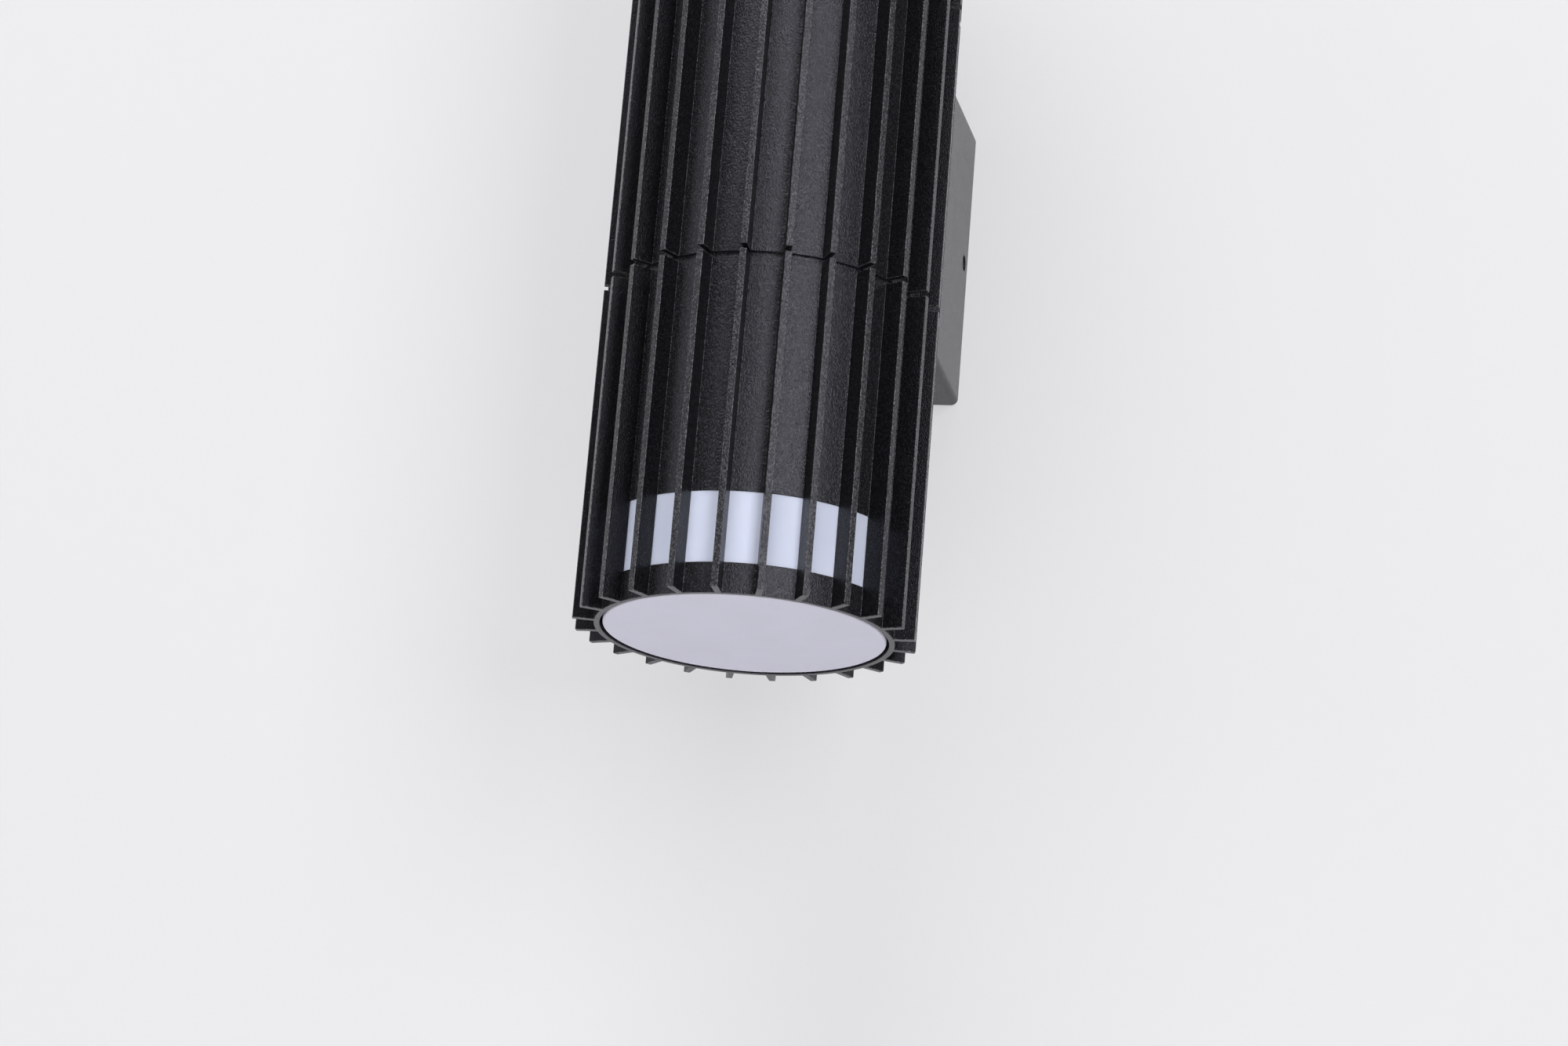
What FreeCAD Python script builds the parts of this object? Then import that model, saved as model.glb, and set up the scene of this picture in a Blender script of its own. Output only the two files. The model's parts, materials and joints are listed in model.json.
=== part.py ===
import FreeCAD, Part
import math
import os
import re

import Sketcher

# Outdoor wall light: a black finned tube in three lengths, lit at both ends, held off the wall
# by a cast box. Origin on the wall, in the middle of the box. +Z up, +Y into the wall, +X to the
# right of someone who faces the light.

Vector = FreeCAD.Vector

# Driving sizes in millimetres. Counts are plain numbers.
SIZES = {
    # finned tube
    "lamp_height": 300.0,
    "barrel_height": 95.6,
    "groove_width": 1.6,
    "fin_tip_radius": 50.0,
    "fin_thickness": 2.0,
    "fin_edge_bevel": 0.3,
    "fin_count": 24,
    "fin_depth": 6.25,
    "fin_bite": 0.2,
    "tube_wall": 1.75,
    "window_start": 9.0,
    "window_height": 21.0,
    "band_split": 1.0,
    "box_fin_gap": 2.0,
    # clearances shared by all pieces
    "fit_gap": 0.05,
    "overrun": 3.0,
    # couplings between the lengths of tube
    "collar_step": 1.0,
    "spigot_reach": 10.0,
    "spigot_wall": 2.5,
    "web_thickness": 3.0,
    "web_bore_radius": 8.0,
    # opal cups
    "cup_gap": 0.8,
    "cup_recess": 0.2,
    "cup_wall": 2.0,
    "cup_face": 2.5,
    "cup_edge_round": 0.6,
    "cup_end_gap": 0.3,
    # LED carriers, their boards and their seals
    "carrier_behind_window": 7.0,
    "carrier_thickness": 4.0,
    "carrier_rim_height": 5.5,
    "carrier_rim_wall": 2.7,
    "seal_radius": 1.0,
    "seal_height": 3.0,
    "board_gap": 0.6,
    "board_thickness": 1.6,
    "chip_count": 12,
    "chip_inset": 15.0,
    "chip_width": 3.5,
    "chip_depth": 2.8,
    "chip_thickness": 0.8,
    # standoffs and their screws
    "standoff_count": 3,
    "standoff_inset": 5.5,
    "standoff_flats": 7.0,
    "screw_radius": 2.0,
    "screw_head_radius": 3.6,
    "screw_head_height": 2.2,
    "screw_grip": 6.0,
    "screw_hole_spare": 1.0,
    "recess_radius": 1.3,
    "recess_depth": 1.2,
    # driver and its bracket
    "driver_width": 50.0,
    "driver_depth": 24.0,
    "driver_height": 66.0,
    "driver_back": 8.0,
    "driver_round": 2.0,
    "driver_socket_depth": 2.0,
    "bracket_sheet": 1.5,
    "bracket_inset": 5.0,
    "bracket_foot": 8.0,
    "bracket_hole_inset": 3.6,
    "bracket_hole_side_inset": 7.6,
    "driver_screw_radius": 1.5,
    "driver_screw_head_radius": 2.8,
    "driver_screw_head_height": 1.8,
    "driver_screw_grip": 4.0,
    "driver_screw_inset": 13.0,
    # wall box
    "box_width": 88.0,
    "box_height": 92.0,
    "box_depth": 42.0,
    "box_side_taper": 2.05,
    "box_end_taper": 0.95,
    "box_round": 2.2,
    "box_wall": 3.5,
    "box_rim_gap": 0.3,
    "neck_width": 36.0,
    "neck_height": 50.0,
    "neck_lip": 2.0,
    "neck_gasket": 1.0,
    "neck_fin_gap": 2.0,
    "wall_gasket_thickness": 1.2,
    "wall_gasket_width": 2.0,
    # box screws and their clamp plate
    "box_screw_radius": 2.5,
    "box_screw_play": 0.25,
    "box_screw_head_radius": 4.25,
    "box_screw_head_height": 5.0,
    "box_screw_recess_radius": 2.2,
    "box_screw_recess_depth": 2.5,
    "box_screw_inset": 8.0,
    "box_screw_tip": 2.0,
    "washer_rim": 0.75,
    "washer_thickness": 1.2,
    "clamp_width": 16.0,
    "clamp_end": 8.0,
    "clamp_thickness": 4.5,
    # cable ways
    "neck_hole_radius": 5.0,
    "grommet_wall": 1.2,
    "grommet_flange": 2.0,
    "grommet_flange_thickness": 1.2,
    "entry_hole_radius": 7.5,
    "entry_grommet_wall": 3.0,
    # lock screws
    "lock_from_wall": 5.8,
    "lock_radius": 2.5,
    "lock_recess": 1.0,
    "lock_tip_gap": 0.1,
    "lock_socket_radius": 1.4,
    "lock_socket_depth": 2.5,
    # wall plate
    "plate_sheet": 2.0,
    "plate_side_gap": 3.0,
    "plate_end_gap": 4.5,
    "plate_corner_round": 4.0,
    "tab_reach": 14.0,
    "tab_height": 18.0,
    "slot_inset": 13.5,
    "slot_length": 10.0,
    "slot_radius": 2.5,
    # terminal block
    "pole_count": 3,
    "pole_pitch": 10.0,
    "block_width": 16.0,
    "block_depth": 14.0,
    "block_side_gap": 8.45,
    "pole_bore_radius": 1.6,
    "pole_height": 9.5,
    "pole_screw_radius": 1.5,
    "pole_screw_length": 3.0,
    "pole_screw_gap": 0.1,
    "pole_screw_inset": 4.0,
    "block_screw_radius": 1.25,
    "block_screw_bite": 2.5,
    "block_screw_head_radius": 2.3,
    "block_screw_head_height": 1.6,
    # earthing point
    "earth_side_gap": 16.45,
    "earth_end_gap": 19.55,
    "earth_boss_radius": 4.0,
    "earth_boss_height": 3.0,
    "earth_screw_radius": 1.5,
    "earth_screw_grip": 4.5,
    "earth_head_radius": 2.8,
    "earth_head_height": 1.8,
    "lug_radius": 3.2,
    "lug_thickness": 0.8,
    "lug_neck_length": 8.0,
    # wires
    "mains_wire_radius": 0.9,
    "mains_wire_spread": 1.4,
    "lead_radius": 0.7,
    "lead_spread": 3.0,
    "lead_offset": 4.0,
    "lead_bow": 5.0,
    "wire_grip": 2.0,
    "live_turn_across": 4.0,
    "earth_turn_across": 6.0,
    "lug_run": 5.0,
}

# Sizes that follow from the driving ones, each a formula of words above it.
DERIVED = {
    "tube_radius": "fin_tip_radius - fin_depth",
    "bore_radius": "tube_radius - tube_wall",
    "fin_root_radius": "tube_radius - fin_bite",
    "window_end": "window_start + window_height",
    "band_radius": "fin_root_radius - fit_gap",
    "band_bore": "bore_radius + fit_gap",
    "head_height": "(lamp_height - barrel_height) / 2 - groove_width",
    "groove_middle": "head_height + groove_width / 2",
    "axis_standoff": "box_depth + box_fin_gap + fin_tip_radius",
    "collar_radius": "tube_radius - collar_step",
    "spigot_radius": "bore_radius - fit_gap",
    "spigot_bore": "spigot_radius - spigot_wall",
    "cup_radius": "bore_radius - cup_gap",
    "cup_bore": "cup_radius - cup_wall",
    "carrier_seat": "window_end + carrier_behind_window",
    "carrier_rim_radius": "cup_bore - 2 * fit_gap",
    "carrier_rim_bore": "carrier_rim_radius - carrier_rim_wall",
    "carrier_back": "carrier_seat + carrier_thickness",
    "board_radius": "carrier_rim_bore - board_gap",
    "chip_circle_radius": "board_radius - chip_inset",
    "standoff_circle_radius": "board_radius - standoff_inset",
    "seal_circle_radius": "cup_bore - fit_gap - seal_radius",
    "web_outer_face": "groove_middle - web_thickness / 2",
    "web_inner_face": "barrel_height / 2 + groove_width / 2 - web_thickness / 2",
    "standoff_length": "web_outer_face - carrier_back",
    "screw_hole_radius": "screw_radius + fit_gap",
    "driver_front": "driver_depth - driver_back",
    "driver_screw_spacing": "driver_height - 2 * driver_screw_inset",
    "bracket_width": "driver_width - 2 * bracket_inset",
    "bracket_hole_along": "driver_front - bracket_hole_inset",
    "bracket_hole_across": "bracket_width / 2 - bracket_hole_side_inset",
    "box_front_width": "box_width - 2 * box_side_taper",
    "box_front_height": "box_height - 2 * box_end_taper",
    "box_front_inside": "box_depth - box_wall",
    "box_side_lean": "(box_width - box_front_width) / 2 / box_depth",
    "gasket_outer_width": "box_width - 2 * box_wall + 2 * wall_gasket_width",
    "gasket_outer_height": "box_height - 2 * box_wall + 2 * wall_gasket_width",
    "neck_face_radius": "tube_radius + neck_gasket",
    "neck_lip_inside": "neck_width / 2 - neck_lip",
    "neck_front": "axis_standoff - sqrt(neck_face_radius^2 - neck_lip_inside^2)",
    "box_screw_hole_radius": "box_screw_radius + box_screw_play",
    "box_screw_spacing": "neck_height - 2 * box_screw_inset",
    "washer_radius": "box_screw_head_radius + washer_rim",
    "clamp_height": "box_screw_spacing + 2 * clamp_end",
    "clamp_face_radius": "bore_radius - fit_gap",
    "clamp_inner_face": "clamp_face_radius - clamp_thickness",
    "box_screw_length":
        "axis_standoff - clamp_inner_face + box_screw_tip - box_front_inside + washer_thickness",
    "plate_width": "box_width - 2 * (box_wall + plate_side_gap)",
    "plate_height": "box_height - 2 * (box_wall + plate_end_gap)",
    "slot_spacing": "plate_width - 2 * slot_inset",
    "lock_outer_end": "box_width / 2 - box_side_lean * lock_from_wall - lock_recess",
    "lock_inner_end": "plate_width / 2 + lock_tip_gap",
    "block_height": "pole_count * pole_pitch",
    "pole_from_wall": "box_front_inside - pole_height",
    "block_centre": "box_front_width / 2 - box_wall - block_side_gap - block_width / 2",
    "block_inner_side": "block_centre - block_width / 2",
    "earth_seat": "box_front_inside - earth_boss_height",
    "earth_across": "box_front_width / 2 - box_wall - earth_side_gap",
    "earth_down": "box_front_height / 2 - box_wall - earth_end_gap",
}

doc = FreeCAD.newDocument("wall_light")
sheet = doc.addObject("Spreadsheet::Sheet", "Sizes")
for row, (word, number) in enumerate(SIZES.items(), start=1):
    sheet.set("A" + str(row), str(number))
    sheet.setAlias("A" + str(row), word)
doc.recompute()

nodes = {}


def expand(formula):
    """Write a formula of plain words as one of the sheet's cells."""
    def swap(match):
        word = match.group(0)
        if word in DERIVED:
            return "(" + expand(DERIVED[word]) + ")"
        if word in SIZES:
            return "Sizes." + word
        return word
    return re.sub(r"[a-z][a-z_]*[a-z]", swap, formula)


def value(formula):
    """The number that a formula gives with the sheet as it is."""
    return float(sheet.evalExpression(expand(formula)))


def bind(thing, **formulas):
    """Tie properties to formulas; a double underscore in a name stands for a dot."""
    for name, formula in formulas.items():
        thing.setExpression(name.replace("__", "."), expand(formula))


def origin_part(body, role):
    """A body's own origin plane or axis."""
    return next(item for item in body.Origin.OriginFeatures if item.Role == role)


def new_body(label):
    """A new body that is kept as a node of the model."""
    body = doc.addObject("PartDesign::Body", label)
    nodes[label] = body
    return body


def keep(label, thing):
    """Keep a shape made from primitives as a node of the model."""
    thing.Label = label
    nodes[label] = thing
    return thing


def place(thing, across="0", along="0", up="0", axis=None, angle=0):
    """Turn a piece and put its origin at a point of the light's frame."""
    turn = FreeCAD.Rotation(axis or Vector(0, 0, 1), angle)
    thing.Placement = FreeCAD.Placement(Vector(), turn)
    bind(thing, Placement__Base__x=across, Placement__Base__y=along, Placement__Base__z=up)
    return thing


def place_at_end(thing, end, inward="0"):
    """Put a piece made along +Z, from the lamp's end face inwards, at the lower or upper end."""
    if end == "lower":
        return place(thing, "0", "-axis_standoff", "-lamp_height / 2 + " + inward)
    return place(thing, "0", "-axis_standoff", "lamp_height / 2 - (" + inward + ")",
                 Vector(1, 0, 0), 180)


def facing_wall(body, across="0", along="0", up="0", away=False):
    """Turn a piece so that its +X points up and its +Z at the wall, or away from it."""
    sign = -1 if away else 1
    turn = FreeCAD.Rotation(Vector(0, 0, 1), Vector(sign, 0, 0), Vector(0, sign, 0), "XYZ")
    body.Placement = FreeCAD.Placement(Vector(), turn)
    bind(body, Placement__Base__x=across, Placement__Base__y=along, Placement__Base__z=up)


def new_sketch(body, role="XY_Plane", offset="0"):
    """An empty sketch on one of the body's planes, or moved off it along its normal."""
    sketch = body.newObject("Sketcher::SketchObject", body.Name + "_sketch")
    sketch.AttachmentSupport = [(origin_part(body, role), "")]
    sketch.MapMode = "FlatFace"
    if offset != "0":
        bind(sketch, AttachmentOffset__Base__z=offset)
    return sketch


def pin_along(sketch, kind, item, point, formula):
    """Hold one coordinate of a sketch's point at a formula measured from its origin."""
    number = sketch.addConstraint(Sketcher.Constraint(kind, -1, 1, item, point, value(formula)))
    sketch.setExpression("Constraints[" + str(number) + "]", expand(formula))


def pin_point(sketch, item, point, across, up):
    """Hold a point of a sketch at two formulas measured from its origin."""
    for kind, formula, axis_item in (("DistanceX", across, -2), ("DistanceY", up, -1)):
        if formula == "0":
            sketch.addConstraint(Sketcher.Constraint("PointOnObject", item, point, axis_item))
        else:
            pin_along(sketch, kind, item, point, formula)


def draw_outline(sketch, corners):
    """A closed outline of straight lines through corners given as pairs of formulas."""
    spots = [Vector(value(across), value(up), 0) for across, up in corners]
    first = sketch.GeometryCount
    count = len(corners)
    for index in range(count):
        line = Part.LineSegment(spots[index], spots[(index + 1) % count])
        sketch.addGeometry(line, False)
    for index in range(count):
        following = first + (index + 1) % count
        sketch.addConstraint(Sketcher.Constraint("Coincident", first + index, 2, following, 1))
    for index, (across, up) in enumerate(corners):
        pin_point(sketch, first + index, 1, across, up)


def draw_rectangle(sketch, left, right, low, high):
    """A rectangle between four formulas."""
    draw_outline(sketch, [(left, low), (right, low), (right, high), (left, high)])


def draw_circle(sketch, radius, across="0", up="0"):
    """A circle with its radius and centre as formulas."""
    middle = Vector(value(across), value(up), 0)
    item = sketch.addGeometry(Part.Circle(middle, Vector(0, 0, 1), value(radius)), False)
    number = sketch.addConstraint(Sketcher.Constraint("Radius", item, value(radius)))
    sketch.setExpression("Constraints[" + str(number) + "]", expand(radius))
    if across == "0" and up == "0":
        sketch.addConstraint(Sketcher.Constraint("Coincident", item, 3, -1, 1))
    else:
        pin_point(sketch, item, 3, across, up)


def draw_hexagon(sketch, flats, across="0"):
    """A regular hexagon, given across its flats."""
    half = "(" + flats + ") / 2"
    corners = []
    for step in range(6):
        turn = str(60 * step + 30)
        corners.append((across + " + " + half + " / cos(30) * cos(" + turn + ")",
                        half + " / cos(30) * sin(" + turn + ")"))
    draw_outline(sketch, corners)


def draw_slot(sketch, middle, length, radius):
    """A level slot with round ends."""
    reach = "((" + length + ") / 2 - " + radius + ")"
    left, right = middle + " - " + reach, middle + " + " + reach
    down = "-(" + radius + ")"
    size = value(radius)
    first = sketch.GeometryCount
    spots = {"left": Vector(value(left), 0, 0), "right": Vector(value(right), 0, 0)}
    rise = Vector(0, size, 0)
    sketch.addGeometry(Part.LineSegment(spots["left"] - rise, spots["right"] - rise), False)
    sketch.addGeometry(Part.Arc(spots["right"] - rise, spots["right"] + Vector(size, 0, 0),
                                spots["right"] + rise), False)
    sketch.addGeometry(Part.LineSegment(spots["right"] + rise, spots["left"] + rise), False)
    sketch.addGeometry(Part.Arc(spots["left"] + rise, spots["left"] - Vector(size, 0, 0),
                                spots["left"] - rise), False)
    for item, point, other, end in ((0, 2, 1, 1), (1, 2, 2, 1), (2, 2, 3, 1), (3, 2, 0, 1)):
        sketch.addConstraint(
            Sketcher.Constraint("Coincident", first + item, point, first + other, end))
    for item, across in ((1, right), (3, left)):
        pin_along(sketch, "DistanceX", first + item, 3, across)
    pin_point(sketch, first, 1, left, down)
    pin_point(sketch, first, 2, right, down)
    pin_point(sketch, first + 2, 1, right, radius)
    pin_point(sketch, first + 2, 2, left, radius)


def pad(body, sketch, length, both_ways=False, backwards=False):
    """Add material along a sketch's normal."""
    feature = body.newObject("PartDesign::Pad", body.Name + "_pad")
    feature.Profile = sketch
    feature.SideType = "Symmetric" if both_ways else "One side"
    feature.Reversed = backwards
    bind(feature, Length=length)
    body.Tip = feature
    return feature


def pocket(body, sketch, depth=None, both_ways=False, backwards=False):
    """Cut material away, through everything or to a depth, and check that something went."""
    doc.recompute()
    before = body.Shape.Volume
    feature = body.newObject("PartDesign::Pocket", body.Name + "_pocket")
    feature.Profile = sketch
    feature.SideType = "Symmetric" if both_ways else "One side"
    feature.Reversed = backwards
    if depth is None:
        feature.Type = "ThroughAll"
    else:
        bind(feature, Length=depth)
    body.Tip = feature
    doc.recompute()
    if body.Shape.Volume >= before:
        raise RuntimeError(body.Label + ": a pocket cut nothing " + str(feature.State))
    return feature


def revolve(body, corners, offset="0", cut=False):
    """Turn an outline of (radius, height) pairs about the upright axis, added or cut away."""
    sketch = new_sketch(body, "XZ_Plane")
    if offset != "0":
        bind(sketch, AttachmentOffset__Base__x=offset)
    draw_outline(sketch, corners)
    kind = "PartDesign::Groove" if cut else "PartDesign::Revolution"
    feature = body.newObject(kind, body.Name + "_turned")
    feature.Profile = sketch
    feature.ReferenceAxis = (sketch, ["V_Axis"])
    feature.Angle = 360
    body.Tip = feature
    return feature


def polar(body, features, count, role="Z_Axis"):
    """Repeat features round one of the body's axes."""
    doc.recompute()
    pattern = body.newObject("PartDesign::PolarPattern", body.Name + "_round")
    pattern.Originals = features
    pattern.Axis = (origin_part(body, role), [""])
    pattern.Angle = 360
    bind(pattern, Occurrences=count)
    body.Tip = pattern
    doc.recompute()
    return pattern


def row_of(body, features, count, pitch, role):
    """Repeat features in a straight row along one of the body's axes."""
    doc.recompute()
    pattern = body.newObject("PartDesign::LinearPattern", body.Name + "_row")
    pattern.Originals = features
    pattern.Direction = (origin_part(body, role), [""])
    bind(pattern, Length="(" + count + " - 1) * " + pitch, Occurrences=count)
    body.Tip = pattern
    doc.recompute()
    return pattern


def add_block(body, left, right, near, far, low, high, cut=False):
    """A block between six formulas, added to a body or cut away."""
    kind = "PartDesign::SubtractiveBox" if cut else "PartDesign::AdditiveBox"
    block = body.newObject(kind, body.Name + "_block")
    block.AttachmentSupport = [(origin_part(body, "XY_Plane"), "")]
    block.MapMode = "FlatFace"
    bind(block, Length=right + " - (" + left + ")", Width=far + " - (" + near + ")",
         Height=high + " - (" + low + ")", AttachmentOffset__Base__x=left,
         AttachmentOffset__Base__y=near, AttachmentOffset__Base__z=low)
    body.Tip = block
    return block


def round_edges(body, feature, radius, wanted):
    """Round the edges of a feature that a test picks out."""
    doc.recompute()
    names = ["Edge" + str(number) for number, edge in enumerate(feature.Shape.Edges, start=1)
             if wanted(edge)]
    fillet = body.newObject("PartDesign::Fillet", body.Name + "_round")
    fillet.Base = (feature, names)
    bind(fillet, Radius=radius)
    body.Tip = fillet
    doc.recompute()
    return fillet


def primitive_cylinder(radius, height, across="0", along="0", up="0", axis=None, angle=0):
    """A plain cylinder for use in a cut, fuse or common."""
    thing = doc.addObject("Part::Cylinder", "round_bar")
    bind(thing, Radius=radius, Height=height)
    return place(thing, across, along, up, axis, angle)


def primitive_block(left, right, near, far, low, high):
    """A plain block for use in a cut, fuse or common."""
    thing = doc.addObject("Part::Box", "square_bar")
    bind(thing, Length=right + " - (" + left + ")", Width=far + " - (" + near + ")",
         Height=high + " - (" + low + ")")
    return place(thing, left, near, low)


def combine(kind, base, tool):
    """A boolean of two shapes: Cut, Common or Fuse."""
    thing = doc.addObject("Part::" + kind, "joined")
    thing.Base = base
    thing.Tool = tool
    return thing


# Finned tube

def add_fins(body, height, both_ways=False):
    """One fin standing on the tube, repeated all round."""
    half = "fin_thickness / 2"
    outline = [
        ("-" + half, "fin_root_radius"),
        (half, "fin_root_radius"),
        (half, "fin_tip_radius - fin_edge_bevel"),
        (half + " - fin_edge_bevel", "fin_tip_radius"),
        ("-" + half + " + fin_edge_bevel", "fin_tip_radius"),
        ("-" + half, "fin_tip_radius - fin_edge_bevel"),
    ]
    sketch = new_sketch(body)
    draw_outline(sketch, outline)
    fin = pad(body, sketch, height, both_ways)
    polar(body, [fin], "fin_count")


def add_tube(body, height, both_ways=False):
    """The plain tube that the fins stand on."""
    sketch = new_sketch(body)
    draw_circle(sketch, "tube_radius")
    draw_circle(sketch, "bore_radius")
    return pad(body, sketch, height, both_ways)


def make_head(end):
    """An end length of tube, with a ring of windows between the fins near its open end."""
    body = new_body(end + "_head")
    add_tube(body, "head_height")
    doc.recompute()
    inside, outside = "bore_radius - overrun", "tube_radius + overrun"
    revolve(body, [(inside, "window_start"), (outside, "window_start"),
                   (outside, "window_end"), (inside, "window_end")], cut=True)
    add_fins(body, "head_height")
    place_at_end(body, end)


def make_barrel():
    """The middle length, with its rear fins milled off where the wall box's neck meets it."""
    body = new_body("barrel")
    add_tube(body, "barrel_height", both_ways=True)
    add_fins(body, "barrel_height", both_ways=True)
    milled = new_sketch(body)
    draw_arc_notch(milled, "neck_width / 2 + neck_fin_gap / 2", "tube_radius",
                   "fin_tip_radius + overrun")
    pocket(body, milled, "neck_height + 2 * neck_fin_gap", both_ways=True)
    holes = new_sketch(body, "XZ_Plane")
    draw_circle(holes, "neck_hole_radius")
    for side in ("", "-"):
        draw_circle(holes, "box_screw_hole_radius", "0", side + "box_screw_spacing / 2")
    pocket(body, holes)
    place(body, "0", "-axis_standoff")


def draw_arc_notch(sketch, half_width, radius, outer):
    """An outline with an arc for its inner side and a straight outer side."""
    size, half = value(radius), value(half_width)
    rise = (size ** 2 - half ** 2) ** 0.5
    left, right = Vector(-half, rise, 0), Vector(half, rise, 0)
    far_left, far_right = Vector(-half, value(outer), 0), Vector(half, value(outer), 0)
    sketch.addGeometry(Part.Arc(right, Vector(0, size, 0), left), False)
    sketch.addGeometry(Part.LineSegment(left, far_left), False)
    sketch.addGeometry(Part.LineSegment(far_left, far_right), False)
    sketch.addGeometry(Part.LineSegment(far_right, right), False)
    for item, point, other, end in ((0, 2, 1, 1), (1, 2, 2, 1), (2, 2, 3, 1), (3, 2, 0, 1)):
        sketch.addConstraint(Sketcher.Constraint("Coincident", item, point, other, end))
    sketch.addConstraint(Sketcher.Constraint("Coincident", 0, 3, -1, 1))
    number = sketch.addConstraint(Sketcher.Constraint("Radius", 0, size))
    sketch.setExpression("Constraints[" + str(number) + "]", expand(radius))
    pin_point(sketch, 1, 2, "-(" + half_width + ")", outer)
    pin_point(sketch, 2, 2, half_width, outer)
    for item in (1, 3):
        sketch.addConstraint(Sketcher.Constraint("Vertical", item))


# Joints between the lengths of tube

def make_coupling(end):
    """A ring whose collar shows in the groove, with a spigot each way and a web across it."""
    body = new_body(end + "_coupling")
    half_web, half_groove = "web_thickness / 2", "groove_width / 2"
    revolve(body, [
        ("web_bore_radius", "-" + half_web),
        ("spigot_bore", "-" + half_web),
        ("spigot_bore", "-spigot_reach"),
        ("spigot_radius", "-spigot_reach"),
        ("spigot_radius", "-" + half_groove),
        ("collar_radius", "-" + half_groove),
        ("collar_radius", half_groove),
        ("spigot_radius", half_groove),
        ("spigot_radius", "spigot_reach"),
        ("spigot_bore", "spigot_reach"),
        ("spigot_bore", half_web),
        ("web_bore_radius", half_web),
    ])
    standoff_hole = new_sketch(body)
    draw_circle(standoff_hole, "screw_hole_radius", "0", "standoff_circle_radius")
    polar(body, [pocket(body, standoff_hole, both_ways=True)], "standoff_count")
    foot_holes = new_sketch(body)
    for across in ("", "-"):
        for along in ("", "-"):
            draw_circle(foot_holes, "driver_screw_radius + fit_gap",
                        across + "bracket_hole_across", along + "bracket_hole_along")
    pocket(body, foot_holes, both_ways=True)
    place_at_end(body, end, "groove_middle")


def make_standoffs(end):
    """Three hexagonal pillars from the coupling's web to the LED carrier."""
    body = new_body(end + "_standoffs")
    sketch = new_sketch(body)
    corners = []
    for step in range(6):
        turn = str(60 * step)
        reach = "standoff_flats / 2 / cos(30)"
        corners.append((reach + " * cos(" + turn + ")",
                        "standoff_circle_radius + " + reach + " * sin(" + turn + ")"))
    draw_outline(sketch, corners)
    pillar = pad(body, sketch, "standoff_length")
    depth = "screw_grip + screw_hole_spare"
    near = new_sketch(body)
    draw_circle(near, "screw_hole_radius", "0", "standoff_circle_radius")
    first = pocket(body, near, depth, backwards=True)
    far = new_sketch(body, offset="standoff_length")
    draw_circle(far, "screw_hole_radius", "0", "standoff_circle_radius")
    second = pocket(body, far, depth)
    polar(body, [pillar, first, second], "standoff_count")
    place_at_end(body, end, "carrier_back")


# Screws: the head stands on the seat plane and the shank goes down from it

# How high the straight side of a head goes, and how wide its flat top is.
HEAD_SIDE_SHARE = 0.6
HEAD_TOP_SHARE = 0.8


def make_screws(label, shank, length, head, head_height, recess, recess_depth,
                offset="0", count="1"):
    """Pan-head screws with a hexagonal recess, spaced evenly round the body's axis."""
    body = new_body(label)
    turned = revolve(body, [
        ("0", "-(" + length + ")"),
        (shank, "-(" + length + ")"),
        (shank, "0"),
        (head, "0"),
        (head, head_height + " * " + str(HEAD_SIDE_SHARE)),
        (head + " * " + str(HEAD_TOP_SHARE), head_height),
        ("0", head_height),
    ], offset)
    sketch = new_sketch(body, offset=head_height)
    draw_hexagon(sketch, "2 * " + recess + " * cos(30)", offset)
    socket = pocket(body, sketch, recess_depth)
    if count != "1":
        polar(body, [turned, socket], count)
    return body


def make_standoff_screws(end):
    """Screws from inside the barrel, through the coupling's web, into the standoffs."""
    body = make_screws(end + "_standoff_screws", "screw_radius", "web_thickness + screw_grip",
                       "screw_head_radius", "screw_head_height", "recess_radius", "recess_depth",
                       "standoff_circle_radius", "standoff_count")
    turn_to_standoffs(body, end, "web_outer_face + web_thickness", faces_out=False)


def make_board_screws(end):
    """Screws from the open end, through board and carrier, into the standoffs."""
    body = make_screws(end + "_board_screws", "screw_radius",
                       "board_thickness + carrier_thickness + screw_grip",
                       "screw_head_radius", "screw_head_height", "recess_radius", "recess_depth",
                       "standoff_circle_radius", "standoff_count")
    turn_to_standoffs(body, end, "carrier_seat - board_thickness", faces_out=True)


def turn_to_standoffs(body, end, inward, faces_out):
    """Line a ring of screws up with the standoffs, heads outwards or inwards."""
    lower = end == "lower"
    upright = FreeCAD.Rotation(Vector(0, 0, 1), 90)
    flip = FreeCAD.Rotation(Vector(1, 0, 0), 180)
    turn = upright
    if faces_out:
        turn = FreeCAD.Rotation(Vector(0, 1, 0), 180).multiply(turn)
    if not lower:
        turn = flip.multiply(turn)
    body.Placement = FreeCAD.Placement(Vector(), turn)
    rise = "-lamp_height / 2 + " + inward if lower else "lamp_height / 2 - (" + inward + ")"
    bind(body, Placement__Base__y="-axis_standoff", Placement__Base__z=rise)


# Light sources

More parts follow.
